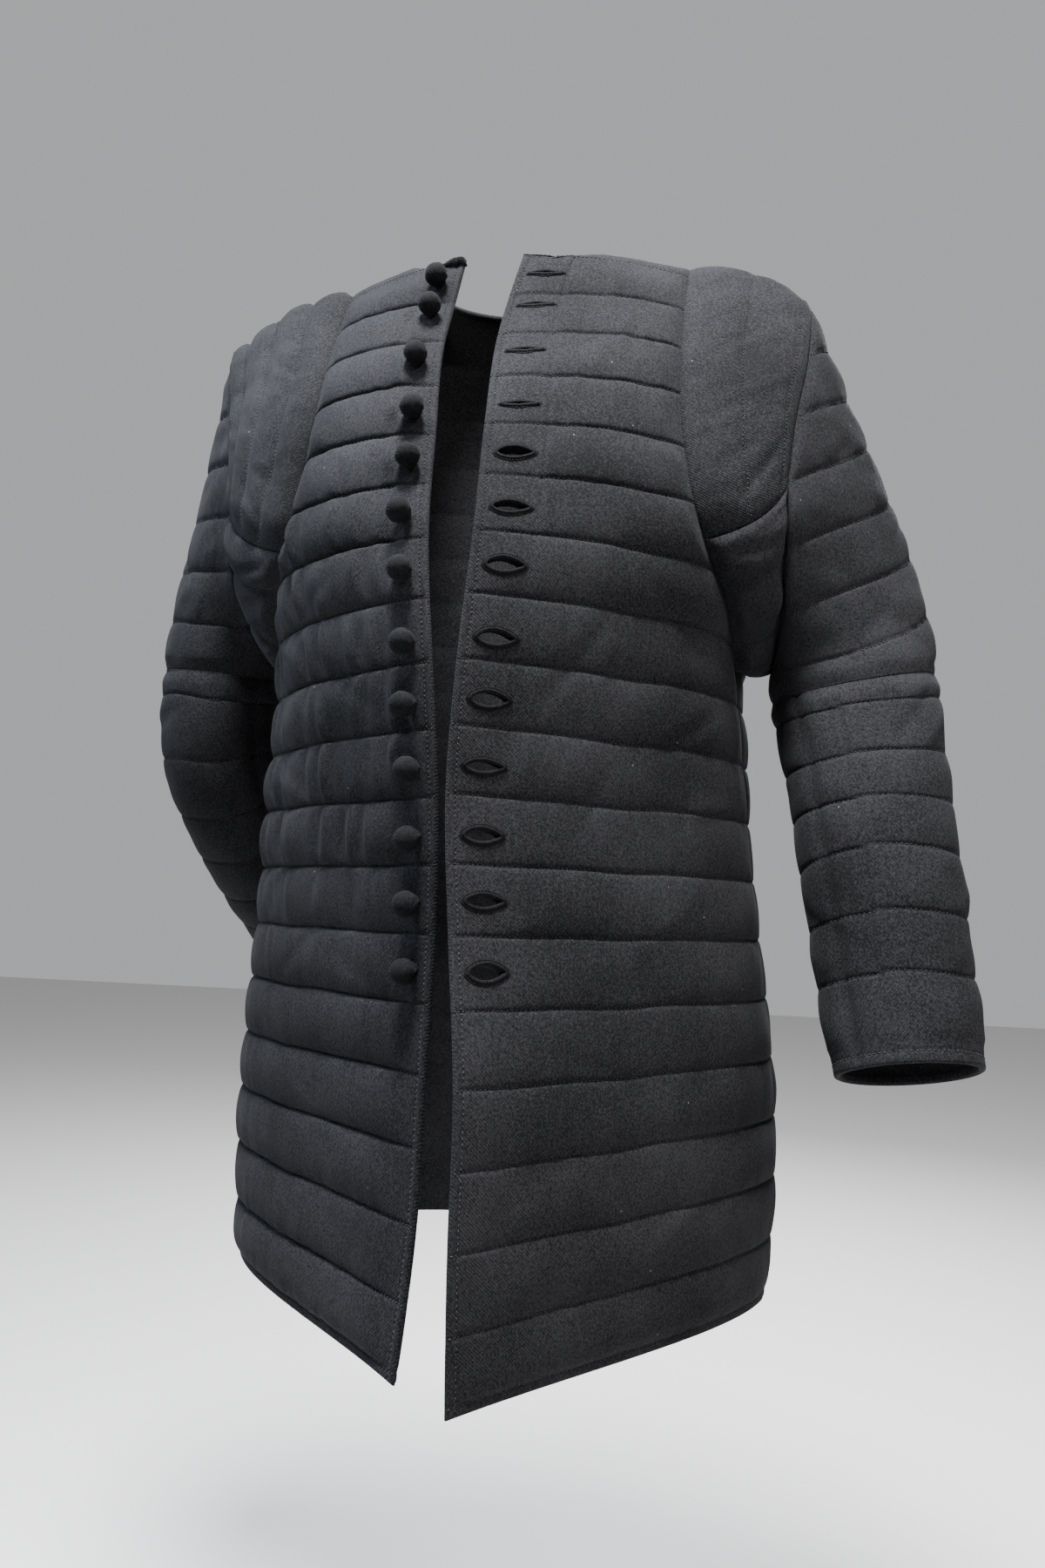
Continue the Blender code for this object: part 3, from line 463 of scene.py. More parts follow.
# ---- pieces of cloth
class Cloth:
    """A dense grid of places on a piece, its normals, and where its rows and columns are."""

    def __init__(self, kind, side, grid, shape, closed=False, rows=None, columns=None):
        self.name = kind + {1: "_left", -1: "_right", 0: ""}[side]
        self.kind, self.side, self.grid, self.shape, self.closed = kind, side, grid, shape, closed
        self.rows, self.columns = rows, columns
        self.normal = self.grid_normals()
        self.across, self.up = run_lengths(grid, 1), run_lengths(grid, 0)

    def grid_normals(self):
        if self.closed:
            across = np.roll(self.grid, -1, 1) - np.roll(self.grid, 1, 1)
            away = self.grid - self.grid.mean(axis=1, keepdims=True)
        else:
            across = np.gradient(self.grid, axis=1)
            away = self.grid - (0, 0.01, -0.25)
            away[..., 2] = np.maximum(away[..., 2], 0)
            away[..., 0] *= 0.6
        normal = unit(np.cross(across, np.gradient(self.grid, axis=0)))
        return normal * np.sign(np.sum(normal * away))

    def faces(self):
        """The outer face and the inner face."""
        outer = self.grid + self.normal * self.out[..., None]
        inner = self.grid - self.normal * (WALL - self.into)[..., None]
        return outer, inner


def share_seam_normals(pieces):
    """Pieces that meet at a seam get the same normals there."""
    totals, spots = {}, []
    for piece in pieces:
        border = np.zeros(piece.grid.shape[:2], bool)
        border[[0, -1]] = True
        if not piece.closed:
            border[:, [0, -1]] = True
        rounded = np.round(piece.grid[border] * 1e5).astype(int)
        for spot, key in zip(np.argwhere(border), rounded):
            spot, key = tuple(spot), tuple(key)
            totals[key] = totals.get(key, 0) + piece.normal[spot]
            spots.append((piece.normal, spot, key))
    for normal, spot, key in spots:
        normal[spot] = unit(totals[key])


def straighten_armhole(pieces):
    """Odd armhole points move midway between the even ones, which a sleeve shares."""
    for piece in pieces:
        for values in (piece.grid, piece.normal):
            values[1:-1:2, -1] = (values[:-2:2, -1] + values[2::2, -1]) / 2


def grid_faces(rows, columns, wrap, wrap_rows=False, start=0):
    """Quads over a grid of points, which may run on from its last column or row to its first."""
    i, j = np.meshgrid(np.arange(rows - 1 + wrap_rows), np.arange(columns - 1 + wrap), indexing="ij")
    n, m = (i + 1) % rows, (j + 1) % columns
    quads = np.stack([i * columns + j, i * columns + m, n * columns + m, n * columns + j], -1)
    return quads.reshape(-1, 4) + start


def rim_faces(rows, columns, row_places, column_places, closed, start):
    """Faces that join the outer grid's border to the coarser inner grid's."""
    faces = []
    wide = len(column_places)
    for end, inner_row in ((0, 0), (rows - 1, len(row_places) - 1)):
        for a in range(wide if closed else wide - 1):
            b = (a + 1) % wide
            first, last = column_places[a], column_places[b]
            stop = last if last > first else columns
            rim = [end * columns + c % columns for c in range(first, stop + 1)]
            rim += [start + inner_row * wide + b, start + inner_row * wide + a]
            faces.append(rim[::-1] if end == 0 else rim)
    if not closed:
        for end, inner_column in ((0, 0), (columns - 1, wide - 1)):
            for a in range(len(row_places) - 1):
                rim = [r * columns + end for r in range(row_places[a], row_places[a + 1] + 1)]
                rim += [start + (a + 1) * wide + inner_column, start + a * wide + inner_column]
                faces.append(rim if end == 0 else rim[::-1])
    return faces


def wall_object(piece, material):
    """One closed mesh: the outer grid, a coarser inner grid, and the rims between them."""
    outer, inner = piece.faces()
    rows, columns = outer.shape[:2]
    row_places = [*range(0, rows - 1, 2), rows - 1]
    column_places = list(range(columns)) if piece.closed else [*range(0, columns - 1, 2), columns - 1]
    kept = np.ix_(row_places, column_places)
    start = rows * columns
    faces = grid_faces(rows, columns, piece.closed).tolist()
    faces += grid_faces(len(row_places), len(column_places), piece.closed, start=start)[:, ::-1].tolist()
    faces += rim_faces(rows, columns, row_places, column_places, piece.closed, start)
    places = [outer.reshape(-1, 3), inner[kept].reshape(-1, 3)]
    mesh = new_mesh(piece.name, np.concatenate(places), faces)
    chart = np.stack([piece.across, piece.up], -1)  # metres along the cloth, for its weave
    flat = np.concatenate([chart.reshape(-1, 2), chart[kept].reshape(-1, 2)])
    corners = np.empty(len(mesh.loops), np.int32)
    mesh.loops.foreach_get("vertex_index", corners)
    layer = mesh.uv_layers.new(name="cloth")
    layer.data.foreach_set("uv", flat[corners].astype(np.float32).ravel())
    mesh.validate()
    return mesh_piece(f"cloth_{piece.name}", mesh, material)


def new_mesh(name, places, faces):
    mesh = bpy.data.meshes.new(name)
    mesh.from_pydata(np.reshape(places, (-1, 3)).tolist(), [], faces)
    return mesh


def new_object(name, data):
    thing = bpy.data.objects.new(name, data)
    bpy.context.scene.collection.objects.link(thing)
    return thing


def mesh_piece(name, mesh, material):
    mesh.materials.append(material)
    mesh.shade_smooth()
    return new_object(name, mesh)


def look_up(piece, row, away):
    """Places and normals on a torso piece's outer face, given rows and distances along them."""
    values = np.concatenate([piece.faces()[0], piece.normal], -1)
    row, away = np.broadcast_arrays(row, away)
    found = np.empty(row.shape + (6,))
    for spot in np.ndindex(row.shape):
        i = np.interp(row[spot], piece.rows, np.arange(len(piece.rows)))
        low = min(int(i), len(piece.rows) - 2)
        lines = []
        for line in (low, low + 1):
            j = np.interp(away[spot], piece.across[line], np.arange(piece.across.shape[1]))
            left = min(int(j), piece.across.shape[1] - 2)
            lines.append(values[line, left] * (1 - j + left) + values[line, left + 1] * (j - left))
        found[spot] = lines[0] * (1 - i + low) + lines[1] * (i - low)
    return found[..., :3], unit(found[..., 3:])


# ---- the torso's pieces
def dense_rows():
    """Rows, crowded towards each quilting line and towards the turned hem."""
    rows = np.append((np.arange(ROW_TOP)[:, None] + crowded(ROWS_A_CHANNEL)).ravel(), ROW_TOP)
    hem = np.array(NEAR_EDGE) / PITCH
    rows = np.concatenate([hem, rows[rows > hem[-1] + 0.02]])
    for corner in (ROW_SIDE, ROW_ARM):
        rows[np.argmin(np.abs(rows - corner))] = corner
    return rows


def front_grid(rows, side):
    """Columns crowd towards the front edge and the outer seam."""
    fine = np.linspace(0, 1, 500)
    shares = []
    for row in rows:
        run = run_lengths(front_point(row, fine, side)[None], 1)[0]
        even = np.linspace(NEAR_EDGE[-1], run[-1] - NEAR_SEAM[0], FRONT_COLUMNS)
        away = np.concatenate([NEAR_EDGE[:-1], even, run[-1] - np.array(NEAR_SEAM[1:])])
        shares.append(np.interp(away, run, fine))
    shares = np.array(shares)
    shares[:, 0], shares[:, -1] = 0, 1
    return front_point(rows[:, None], shares, side), shares


def back_grid(rows):
    half = np.linspace(0, 1, BACK_COLUMNS)
    half = half + 0.06 * np.sin(2 * math.pi * half) / (2 * math.pi) * half
    shares = np.concatenate([-half[:0:-1], half])[None, :]
    return back_point(rows[:, None], shares), np.abs(shares)


def shape_torso(piece):
    """Channels, folds and edges of the back (side 0) or of a front."""
    side, k, u, hem = piece.side, piece.rows[:, None], piece.across, HEM_STITCH / PITCH
    seed, v = {1: 20, -1: 40, 0: 60}[side], k * PITCH
    far = u[:, -1:] - u if side else np.minimum(u, u[:, -1:] - u)
    # The quilting lines wander a little, and channels run out at the arm pieces' seam.
    wander = 0.02 * noise(u, k * 0, 0.045, 1, seed) + 0.012 * noise(u, k, 0.06, 1.3, seed + 1)
    piece.place = np.where(k < 1, np.clip((k - hem) / (1 - hem), 0, 1), k + wander * smooth(k, 0.5, 1))
    puff = channel(piece.place)
    height = TORSO_PUFF[side] * (1 + 0.2 * noise(u, np.floor(piece.place), 0.08, 1, seed + 3))
    height *= 1 - 0.93 * (smooth(k, 17.3, 18.1) if side else smooth(k, 17.6, 18.3))
    arm = smooth(k, ROW_SIDE - 0.7, ROW_SIDE + 0.3)
    height *= (0.45 + 0.55 * smooth(far, 0, 0.025)) * (1 - arm) + smooth(far, 0, 0.02) * arm
    small = noise(u, v, 0.0085, 0.055, seed + 5) + 0.6 * noise(u, v, 0.015, 0.03, seed + 6)
    cockles = 0.0013 * small * puff**0.4 * (1 - 0.75 * puff)
    cockles += 0.0011 * noise(u, v, 0.075, 0.04, seed + 7) * puff
    line, step = groove(piece.place, PITCH), 0
    folds = creases(piece.name, u if side else u - u[:, -1:] / 2, v)
    neck = 1 - smooth(piece.columns, NECK_SHARE, NECK_SHARE + 0.03)
    sink = turned_edge(piece.up[-1:] - piece.up, EDGE_STITCH) * neck
    sink = np.maximum(turned_edge(piece.up, HEM_STITCH), sink)
    if side:
        sink = np.maximum(turned_edge(u, EDGE_STITCH), sink)
        line = line * smooth(u, 0, 0.008) * (1 - 0.7 * smooth(k, 17.3, 17.9))
        cockles *= smooth(u, 0.004, 0.02)
    folds += cockles
    if side > 0:
        strip = 1 - smooth(u, FACING - 0.006, FACING + 0.008)
        height *= 1 - strip * (0.35 + 0.4 * smooth(k, 11.0, 13.2))
        height *= 0.15 + 0.85 * smooth(u, 0.006, 0.03)
        height *= 1 - 0.35 * smooth(k, 12.5, 16.5)
        step = bell(u - FACING - 0.002 * np.sin(k), 0.0016)
        step = step * smooth(k, 11.5, 12.6) * (1 - smooth(k, 17.9, 18.3))
    elif side < 0:
        height *= 0.12 + 0.88 * smooth(u, 0.007, 0.04)
        gathers = noise(u, v, 0.011, 0.07, 48) * smooth(k, 5, 8) * (1 - smooth(k, 12.5, 14))
        folds += 0.0042 * gathers * puff * smooth(u, 0.02, 0.05)
        beside = bell(u - 0.027, 0.012) * smooth(k, 6, 9) * (1 - smooth(k, 17.2, 17.8))
        folds += 0.0036 * noise(u, v, 0.012, 0.016, 49) * beside
    folds *= smooth(far, 0, 0.012) * (1 - smooth(k, 18.4, 18.9))
    piece.out = puff * height + folds - line - sink - seam_sink(far) - 0.0011 * step
    piece.into = sink - 0.35 * puff * height * smooth(far, 0, 0.02)


# ---- the arm pieces
def torso_edge(rows, upper):
    """Points of the torso's outer seam, up to and over the top of the shoulder."""
    top = np.broadcast_to(SHOULDER_TOP, (len(rows), 3))
    return round_over(rows, outer_seam(rows, upper), top)


def arm_strip(rows, armhole, bulge, count, side):
    """Stations run from the front round to the back, columns from the torso to the armhole."""
    inner = np.concatenate([torso_edge(rows, FRONT_SEAM), torso_edge(rows[::-1], BACK_SEAM)[1:]])
    curve = points(*values_at(armhole, np.linspace(0, 1, 400)))
    run = run_lengths(curve[None], 1)[0]
    even = np.linspace(0, run[-1], len(inner))
    outer = points(*[np.interp(even, run, values) for values in curve.T])
    middle = (inner + outer) / 2
    away = unit((middle - STRIP_POLE) * (1, 0.5, 1))
    rise = SHOULDER_BULGE + (bulge - SHOULDER_BULGE) * np.sin(math.pi * np.linspace(0, 1, len(inner)))
    crown = middle + 2 * rise[:, None] * away
    even = np.linspace(0, 1, count)
    s = (even - 0.12 * np.sin(2 * math.pi * even) / (2 * math.pi))[None, :, None]
    return arch(inner[:, None], crown[:, None], outer[:, None], s) * (side, 1, 1)


def shape_shoulder(piece):
    """Long rolls over the shoulder, between stitching that follows its length."""
    u, v, wide = piece.across, piece.up, piece.across[:, -1:]
    seed, lines = {1: 80, -1: 90}[piece.side], SHOULDER_LINES[piece.side]
    wander = 0.012 * noise(v, u / wide, 0.09, 9, seed)
    piece.place = np.interp(u / wide + wander, lines, range(len(lines)))
    edge, ends = np.minimum(u, wide - u), np.minimum(v, v[-1:] - v)
    puff = channel(piece.place) * smooth(ends, 0, 0.03) * SHOULDER_PUFF[piece.side]
    folds = creases("shoulder", u, v) + 0.0011 * noise(v, u, 0.03, 0.025, seed + 1)
    folds += 0.0005 * noise(v, u, 0.01, 0.016, seed + 2)
    rim = smooth(edge, 0, 0.01) * smooth(ends, 0, 0.01)
    stitch = bell(wide - u - ARMHOLE_STITCH, 0.0012)
    piece.out = (puff + folds - groove(piece.place, 0.03)) * rim - 0.0011 * stitch
    piece.out -= seam_sink(np.minimum(edge, ends))
    piece.into = -0.3 * puff * rim


def shape_underarm(piece):
    """Channels that fan out from the torso's seam to the armhole."""
    u, seed = piece.across, {1: 100, -1: 110}[piece.side]
    station = np.linspace(0, 1, len(u))[:, None]
    piece.place = UNDERARM_CHANNELS * (station + 0.006 * noise(u, station, 0.03, 0.3, seed))
    edge = np.minimum(u, u[:, -1:] - u)
    puff = channel(piece.place) * smooth(edge, 0, 0.014) * UNDERARM_PUFF
    folds = 0.0018 * noise(station * UNDERARM_CHANNELS, u, 0.45, 0.05, seed + 1)
    folds += creases("underarm", u, piece.up)
    rim = smooth(edge, 0, 0.01)
    piece.out = (puff + folds - groove(piece.place, 0.03)) * rim - seam_sink(edge)
    piece.into = -0.3 * puff * rim


# ---- sleeves
def upper_sleeve_grid(ring, side):
    elbow, below = sleeve_rings((0.0, 0.03), ring_angles(ring), side)
    reach = SLEEVE_REACH * np.linalg.norm(elbow - ring, axis=1)[:, None]
    outward = unit(ring - ring.mean(axis=0))
    swell = SLEEVE_SWELL * np.clip(0.5 + outward[:, 2:], 0, 1)
    leave = unit(np.array(ARM_AXIS[side]) * (side, 1, 1) + swell * (outward * (1, 1, 0) + (side, 0, 0)))
    arrive = unit(below - elbow)
    t = np.linspace(0, 1, UPPER_SLEEVE_ROWS)
    return np.stack([blend_curve(*handles, t) for handles in zip(
        ring, ring + reach * leave, elbow - reach * arrive, elbow)], axis=1)


def lower_sleeve_grid(ring, side):
    """The lower sleeve's grid, and where its rows and columns are along it and round it."""
    lines = np.array(LOWER_LINES)
    steps = np.concatenate([low + (high - low) * crowded(LOWER_ROWS_A_CHANNEL)
                            for low, high in zip(lines[:-2], lines[1:-1])])
    cuff = 1 - np.array(NEAR_EDGE[::-1]) / SLEEVE_LENGTH
    t = np.concatenate([steps[steps < cuff[0] - 0.004], cuff])
    angles = ring_angles(ring)
    return sleeve_rings(t, angles, side), t, angles[None]


def sleeve_folds(u, v, puff, width, height, seed):
    """Broad unevenness on the channels, and small gathers beside their stitching."""
    broad = height * noise(u, v, width, 0.022, seed) * puff
    return broad + 0.0006 * noise(u, v, 0.009, 0.045, seed + 1) * puff**0.4 * (1 - 0.7 * puff)


def shape_upper_sleeve(piece):
    """Channels square to the arm, which the slanting armhole cuts off."""
    seed, lines = {1: 120, -1: 130}[piece.side], UPPER_LINES[piece.side]
    across, forward = UPPER_SLANT[piece.side]
    x, y, z = np.moveaxis(piece.grid, -1, 0)
    turn = np.linspace(0, 1, len(x[0]), endpoint=False)[None, :]
    around = np.minimum(turn, 1 - turn) * SLEEVE_GIRTH
    field = z - across * (x * piece.side - 0.3) - forward * y
    field += 0.0012 * noise(around, z, 0.05, 0.06, seed)
    piece.place = np.interp(field, lines[::-1], np.arange(len(lines))[::-1])
    first, last = piece.up, piece.up[-1:] - piece.up
    rim = smooth(first, 0, 0.018) * smooth(last, 0, 0.014)
    puff = channel(piece.place)
    height = UPPER_SLEEVE_PUFF * (1 + 0.25 * noise(around, np.floor(piece.place), 0.07, 1, seed + 1))
    folds = creases(piece.name, turn * SLEEVE_GIRTH, first)
    folds += sleeve_folds(around, z, puff, 0.028, 0.0013, seed + 2)
    piece.out = (puff * height + folds - groove(piece.place, 0.05)) * rim
    piece.out -= seam_sink(first)
    piece.out -= seam_sink(last)
    piece.into = -0.3 * puff * height * rim


def shape_lower_sleeve(piece):
    """Channels down to a turned cuff, with the sleeve's own seam along them."""
    seed, t, u, v = {1: 140, -1: 150}[piece.side], piece.rows[:, None], piece.across, piece.up
    wander = 0.006 * noise(u, t * 0, 0.05, 1, seed) * smooth(v, 0, 0.03) * (1 - smooth(t, 0.9, 0.955))
    piece.place = np.interp(t + wander, LOWER_LINES, range(len(LOWER_LINES)))
    cuff = v[-1:] - v
    puff = channel(piece.place) * (1 - smooth(t, 0.945, 0.96))
    seam = np.abs((np.degrees(piece.columns) - SLEEVE_SEAM_ANGLE + 180) % 360 - 180)
    seam = np.radians(seam) * SLEEVE_RADIUS
    height = SLEEVE_PUFF * (1 + 0.25 * noise(u, np.floor(piece.place), 0.07, 1, seed + 1))
    height *= 0.35 + 0.65 * smooth(seam, 0, 0.014)
    rim = smooth(v, 0, 0.012) * smooth(cuff, 0.004, 0.02)
    folds = creases(piece.name, u, v) + sleeve_folds(u, v, puff, 0.03, 0.0011, seed + 2)
    sink = turned_edge(cuff, CUFF_STITCH)
    piece.out = (puff * height + folds - 0.75 * groove(piece.place, 0.044)) * rim - sink
    piece.out -= seam_sink(v)
    piece.out -= 2.4 * SEAM_SINK * bell(seam, 0.0036) * smooth(cuff, 0, 0.01)
    piece.into = sink - 0.3 * puff * height * rim


# ---- stitches
def level_line(piece, field, level, along_rows):
    """Places on the outer face where a field that rises across the grid passes a level."""
    outer, normal = piece.faces()[0], piece.normal
    if along_rows:
        outer, normal, field = outer.swapaxes(0, 1), normal.swapaxes(0, 1), field.T
    if field[0].mean() > field[-1].mean():
        outer, normal, field = outer[::-1], normal[::-1], field[::-1]
    runs = [[]]
    for j in range(field.shape[1]):
        values = np.maximum.accumulate(field[:, j])
        if values[0] <= level <= values[-1]:
            i = int(np.clip(np.searchsorted(values, level) - 1, 0, len(values) - 2))
            share = min(max((level - values[i]) / max(values[i + 1] - values[i], 1e-9), 0), 1)
            runs[-1].append((outer[i, j] * (1 - share) + outer[i + 1, j] * share, normal[i, j]))
        else:
            runs.append([])
    return [run for run in runs if len(run) > 3]


def stitches_along(run):
    """Small rice-shaped stitches, evenly spaced along a line of places and normals."""
    places, normals = (np.array(values) for values in zip(*run))
    length = run_lengths(places[None], 1)[0]
    count = int(length[-1] / STITCH_PITCH)
    if count < 2:
        return np.zeros((0, 6, 3))
    centre = (np.arange(count) + 0.5) * length[-1] / count

    def at(values, where):
        return np.stack([np.interp(where, length, column) for column in values.T], -1)

    middle = at(places, centre)
    way = at(places, centre + 0.001) - at(places, centre - 0.001)
    way /= np.linalg.norm(way, axis=1)[:, None] + 1e-12
    up = unit(at(normals, centre))
    side = np.cross(way, up)
    reach, wide, high = STITCH_SIZE
    return np.stack([
        middle - reach * way, middle + reach * way,
        middle - wide * side + 0.3 * high * up, middle + wide * side + 0.3 * high * up,
        middle + high * up, middle - high * up,
    ], axis=1)


def stitch_object(name, groups, material):
    """All the stitches of one piece, joined in one mesh."""
    corners = np.concatenate(groups)
    facets = np.array(((0, 2, 4), (2, 1, 4), (1, 3, 4), (3, 0, 4),
                       (2, 0, 5), (1, 2, 5), (3, 1, 5), (0, 3, 5)))
    faces = (facets[None] + 6 * np.arange(len(corners))[:, None, None]).reshape(-1, 3)
    return mesh_piece(name, new_mesh(name, corners, faces.tolist()), material)


def piece_stitches(piece):
    """Stitches along a piece's quilting, and its topstitching beside the edges."""
    kind, u, v = piece.kind, piece.across, piece.up
    along, count = kind == "shoulder", {
        "back": 19, "front": 19, "shoulder": len(SHOULDER_LINES.get(piece.side, ())) - 1,
        "underarm": UNDERARM_CHANNELS, "upper_sleeve": len(UPPER_LINES[1]) - 1,
        "lower_sleeve": len(LOWER_LINES) - 2,
    }[kind]
    lines = [(piece.place, n, along) for n in range(1, count)] + {
        "back": [(v, HEM_STITCH, False)],
        "front": [(v, HEM_STITCH, False), (u, EDGE_STITCH, True)],
        "shoulder": [(u - u[:, -1:], -ARMHOLE_STITCH, True)],
        "lower_sleeve": [(v - v[-1:], -CUFF_STITCH, False)],
    }.get(kind, [])
    return [stitches_along(run) for line in lines for run in level_line(piece, *line)]


# ---- buttonholes and buttons
def hole_surface(front, row, gape, grow, lift, count):
    """An almond whose back end is fuller, on the front's outer face, grown and lifted off it."""
    turn = turns(count)
    x = np.cos(turn)
    y = np.sin(turn) * (1 - 0.35 * x**2) * (1 - 0.22 * x)
    x, y = x * HOLE_LENGTH / 2, y * gape / 2
    reach = np.hypot(x, y) + 1e-9
    x, y = x + grow * x / reach, y + grow * np.sign(y) * np.abs(y / reach)**0.4
    places, normals = look_up(front, row + y / PITCH, HOLE_INSET + x)
    return places + normals * lift, normals


def cut_buttonholes(piece, front):
    """Cuts the buttonholes through the front with one joined set of prisms."""
    mesh = bmesh.new()
    for row, gape in CLOSURES:
        places, normals = hole_surface(front, row, gape, 0, 0, 28)
        straight = unit(normals.mean(axis=0))
        low = [mesh.verts.new(p - straight * 0.014) for p in places]
        high = [mesh.verts.new(p + straight * 0.01) for p in places]
        mesh.faces.new(low)
        mesh.faces.new(high[::-1])
        for i in range(len(low)):
            n = (i + 1) % len(low)
            mesh.faces.new((low[n], low[i], high[i], high[n]))
    bmesh.ops.recalc_face_normals(mesh, faces=mesh.faces)
    data = bpy.data.meshes.new("hole_prisms")
    mesh.to_mesh(data)
    mesh.free()
    prisms = new_object("hole_prisms", data)
    cut = piece.modifiers.new("Buttonholes", "BOOLEAN")
    cut.operation, cut.solver, cut.object = "DIFFERENCE", "EXACT", prisms
    bpy.context.view_layer.update()
    graph = bpy.context.evaluated_depsgraph_get()
    result = bpy.data.meshes.new_from_object(piece.evaluated_get(graph))
    piece.modifiers.clear()
    old, piece.data = piece.data, result
    bpy.data.objects.remove(prisms)
    for mesh in (old, data):
        bpy.data.meshes.remove(mesh)


def tube(places, normals, radius, ribs, sides=6):
    """A closed tube round a loop, its radius rippling as thread laid over thread does."""
    count = len(places)
    side = np.cross(unit(np.roll(places, -1, 0) - np.roll(places, 1, 0)), normals)
    ripple = radius * (1 + ribs * np.where(np.arange(count) % 2, 1, -1))
    turn = turns(sides)[None, :, None]
    ring = np.cos(turn) * side[:, None] + np.sin(turn) * normals[:, None]
    return places[:, None] + ripple[:, None, None] * ring, grid_faces(count, sides, True, True)


def add_buttonhole_work(front, material):
    """Thick worked rims inside a ring of finer thread, joined in one mesh."""
    places, faces, start = [], [], 0
    for row, gape in CLOSURES:
        for grow, lift, radius, ribs in ((0.0009, 0, 0.0016, 0.14), (0.0028, -0.0003, 0.001, 0.26)):
            ring, quads = tube(*hole_surface(front, row, gape, grow, lift, 96), radius, ribs)
            places.append(ring.reshape(-1, 3))
            faces.append(quads + start)
            start += len(places[-1])
    mesh = new_mesh("buttonhole_work", np.concatenate(places), np.concatenate(faces).tolist())
    return mesh_piece("buttonhole_work", mesh, material)


def add_button(number, row, front, material):
    """A ball covered in gathered cloth, drooping a little on its shank."""
    foot, z = (values[0] for values in look_up(front, [row], [BUTTON_INSET]))
    draw = np.random.default_rng(300 + number)
    z = unit(z + (draw.uniform(-0.25, 0.25), -0.1, -0.28 + draw.uniform(-0.12, 0.12)))
    x = unit(np.cross((0, 0, 1.0), z))
    y = np.cross(z, x)
    rings, sides = 30, 40
    turn = turns(sides)[None, :]
    fall = np.linspace(0, math.pi, rings)[:, None]
    radius = 1.05 * BUTTON_BALL / 2
    pleats = np.cos(turn * 9 + 1.3 * np.sin(turn * 2 + number)) * smooth(fall, 1.5, 2.6) * 0.00075
    dents = 0.0005 * noise(turn * 4, fall * 3, 1.1, 1.3, 310 + number) * np.sin(fall)
    r = (radius + pleats + dents) * np.sin(fall) + BUTTON_SHANK / 2 * smooth(fall, 2.2, 3.1)
    h = BUTTON_STANDOFF + radius * np.cos(fall) * (0.94 + 0.03 * draw.uniform(-1, 1))
    h = h - smooth(fall, 2.75, 3.1416) * (BUTTON_STANDOFF - radius + 0.0012)
    r, h, turn = r[..., None], h[..., None], turn[..., None]
    grid = foot + r * (np.cos(turn) * x + np.sin(turn) * y) + h * z
    name = f"ball_button_{number:02d}"
    mesh = new_mesh(name, grid, grid_faces(rings, sides, True)[:, [0, 3, 2, 1]].tolist())
    work = bmesh.new()
    work.from_mesh(mesh)
    bmesh.ops.remove_doubles(work, verts=work.verts, dist=0.00001)
    bmesh.ops.holes_fill(work, edges=work.edges)
    bmesh.ops.recalc_face_normals(work, faces=work.faces)
    work.to_mesh(mesh)
    work.free()
    return mesh_piece(name, mesh, material)


# ---- materials
def set_inputs(node, values):
    """Sets a node's inputs, each to a value or to another node's output."""
    for name, value in values.items():
        if isinstance(value, bpy.types.NodeSocket):
            node.id_data.links.new(value, node.inputs[name])
        else:
            node.inputs[name].default_value = value


def plain_material(name, colour, roughness):
    material = bpy.data.materials.new(name)
    material.use_nodes = True
    shader = material.node_tree.nodes["Principled BSDF"]
    set_inputs(shader, {"Base Color": colour + (1,), "Roughness": roughness})
    return material, shader


def cloth_material(name, dark, light, weave_map, weave_depth):
    """Brushed cotton twill: uneven charcoal dye, a fine diagonal weave, nap, and specks of lint."""
    material, shader = plain_material(name, dark, 0.92)

    def node(kind, values, **settings):
        made = shader.id_data.nodes.new("ShaderNode" + kind)
        for setting, value in settings.items():
            setattr(made, setting, value)
        set_inputs(made, values)
        return made

    space = node("TexCoord", {}).outputs["Object"]
    cloud = node("TexNoise", {"Scale": 9, "Detail": 6, "Vector": space}).outputs["Fac"]
    grain = node("TexNoise", {"Scale": 620, "Detail": 3, "Vector": space}).outputs["Fac"]
    dye = node("Mix", {0: 0.62, 2: cloud, 3: grain}, data_type="FLOAT").outputs[0]
    ramp = node("ValToRGB", {"Fac": dye})
    for stop, place, colour in zip(ramp.color_ramp.elements, (0.4, 0.62), (dark, light)):
        stop.position = place
        stop.color = colour + (1,)
    specks = node("TexVoronoi", {"Scale": 34, "Vector": space}).outputs["Distance"]
    lint = node("Math", {0: specks, 1: 0.022}, operation="LESS_THAN").outputs[0]
    mix = node("Mix", {}, data_type="RGBA")
    set_inputs(mix, {0: lint, 6: ramp.outputs["Color"], 7: (0.08, 0.08, 0.08, 1)})
    chart = node("UVMap", {}, uv_map="cloth").outputs["UV"] if weave_map else space
    twill = node("TexWave", {"Scale": 260 if weave_map else 330, "Distortion": 1.2, "Detail": 2,
                             "Detail Scale": 3, "Vector": chart},
                 wave_type="BANDS", bands_direction="DIAGONAL").outputs["Fac"]
    heights = node("Mix", {0: 0.5, 2: twill, 3: grain}, data_type="FLOAT").outputs[0]
    bump = node("Bump", {"Strength": weave_depth, "Distance": 0.0008, "Height": heights})
    set_inputs(shader, {
        "Base Color": mix.outputs[2], "Normal": bump.outputs["Normal"], "Specular IOR Level": 0.05,
        "Sheen Weight": 0.015, "Sheen Roughness": 0.45, "Sheen Tint": (0.55, 0.57, 0.62, 1),
    })
    return material


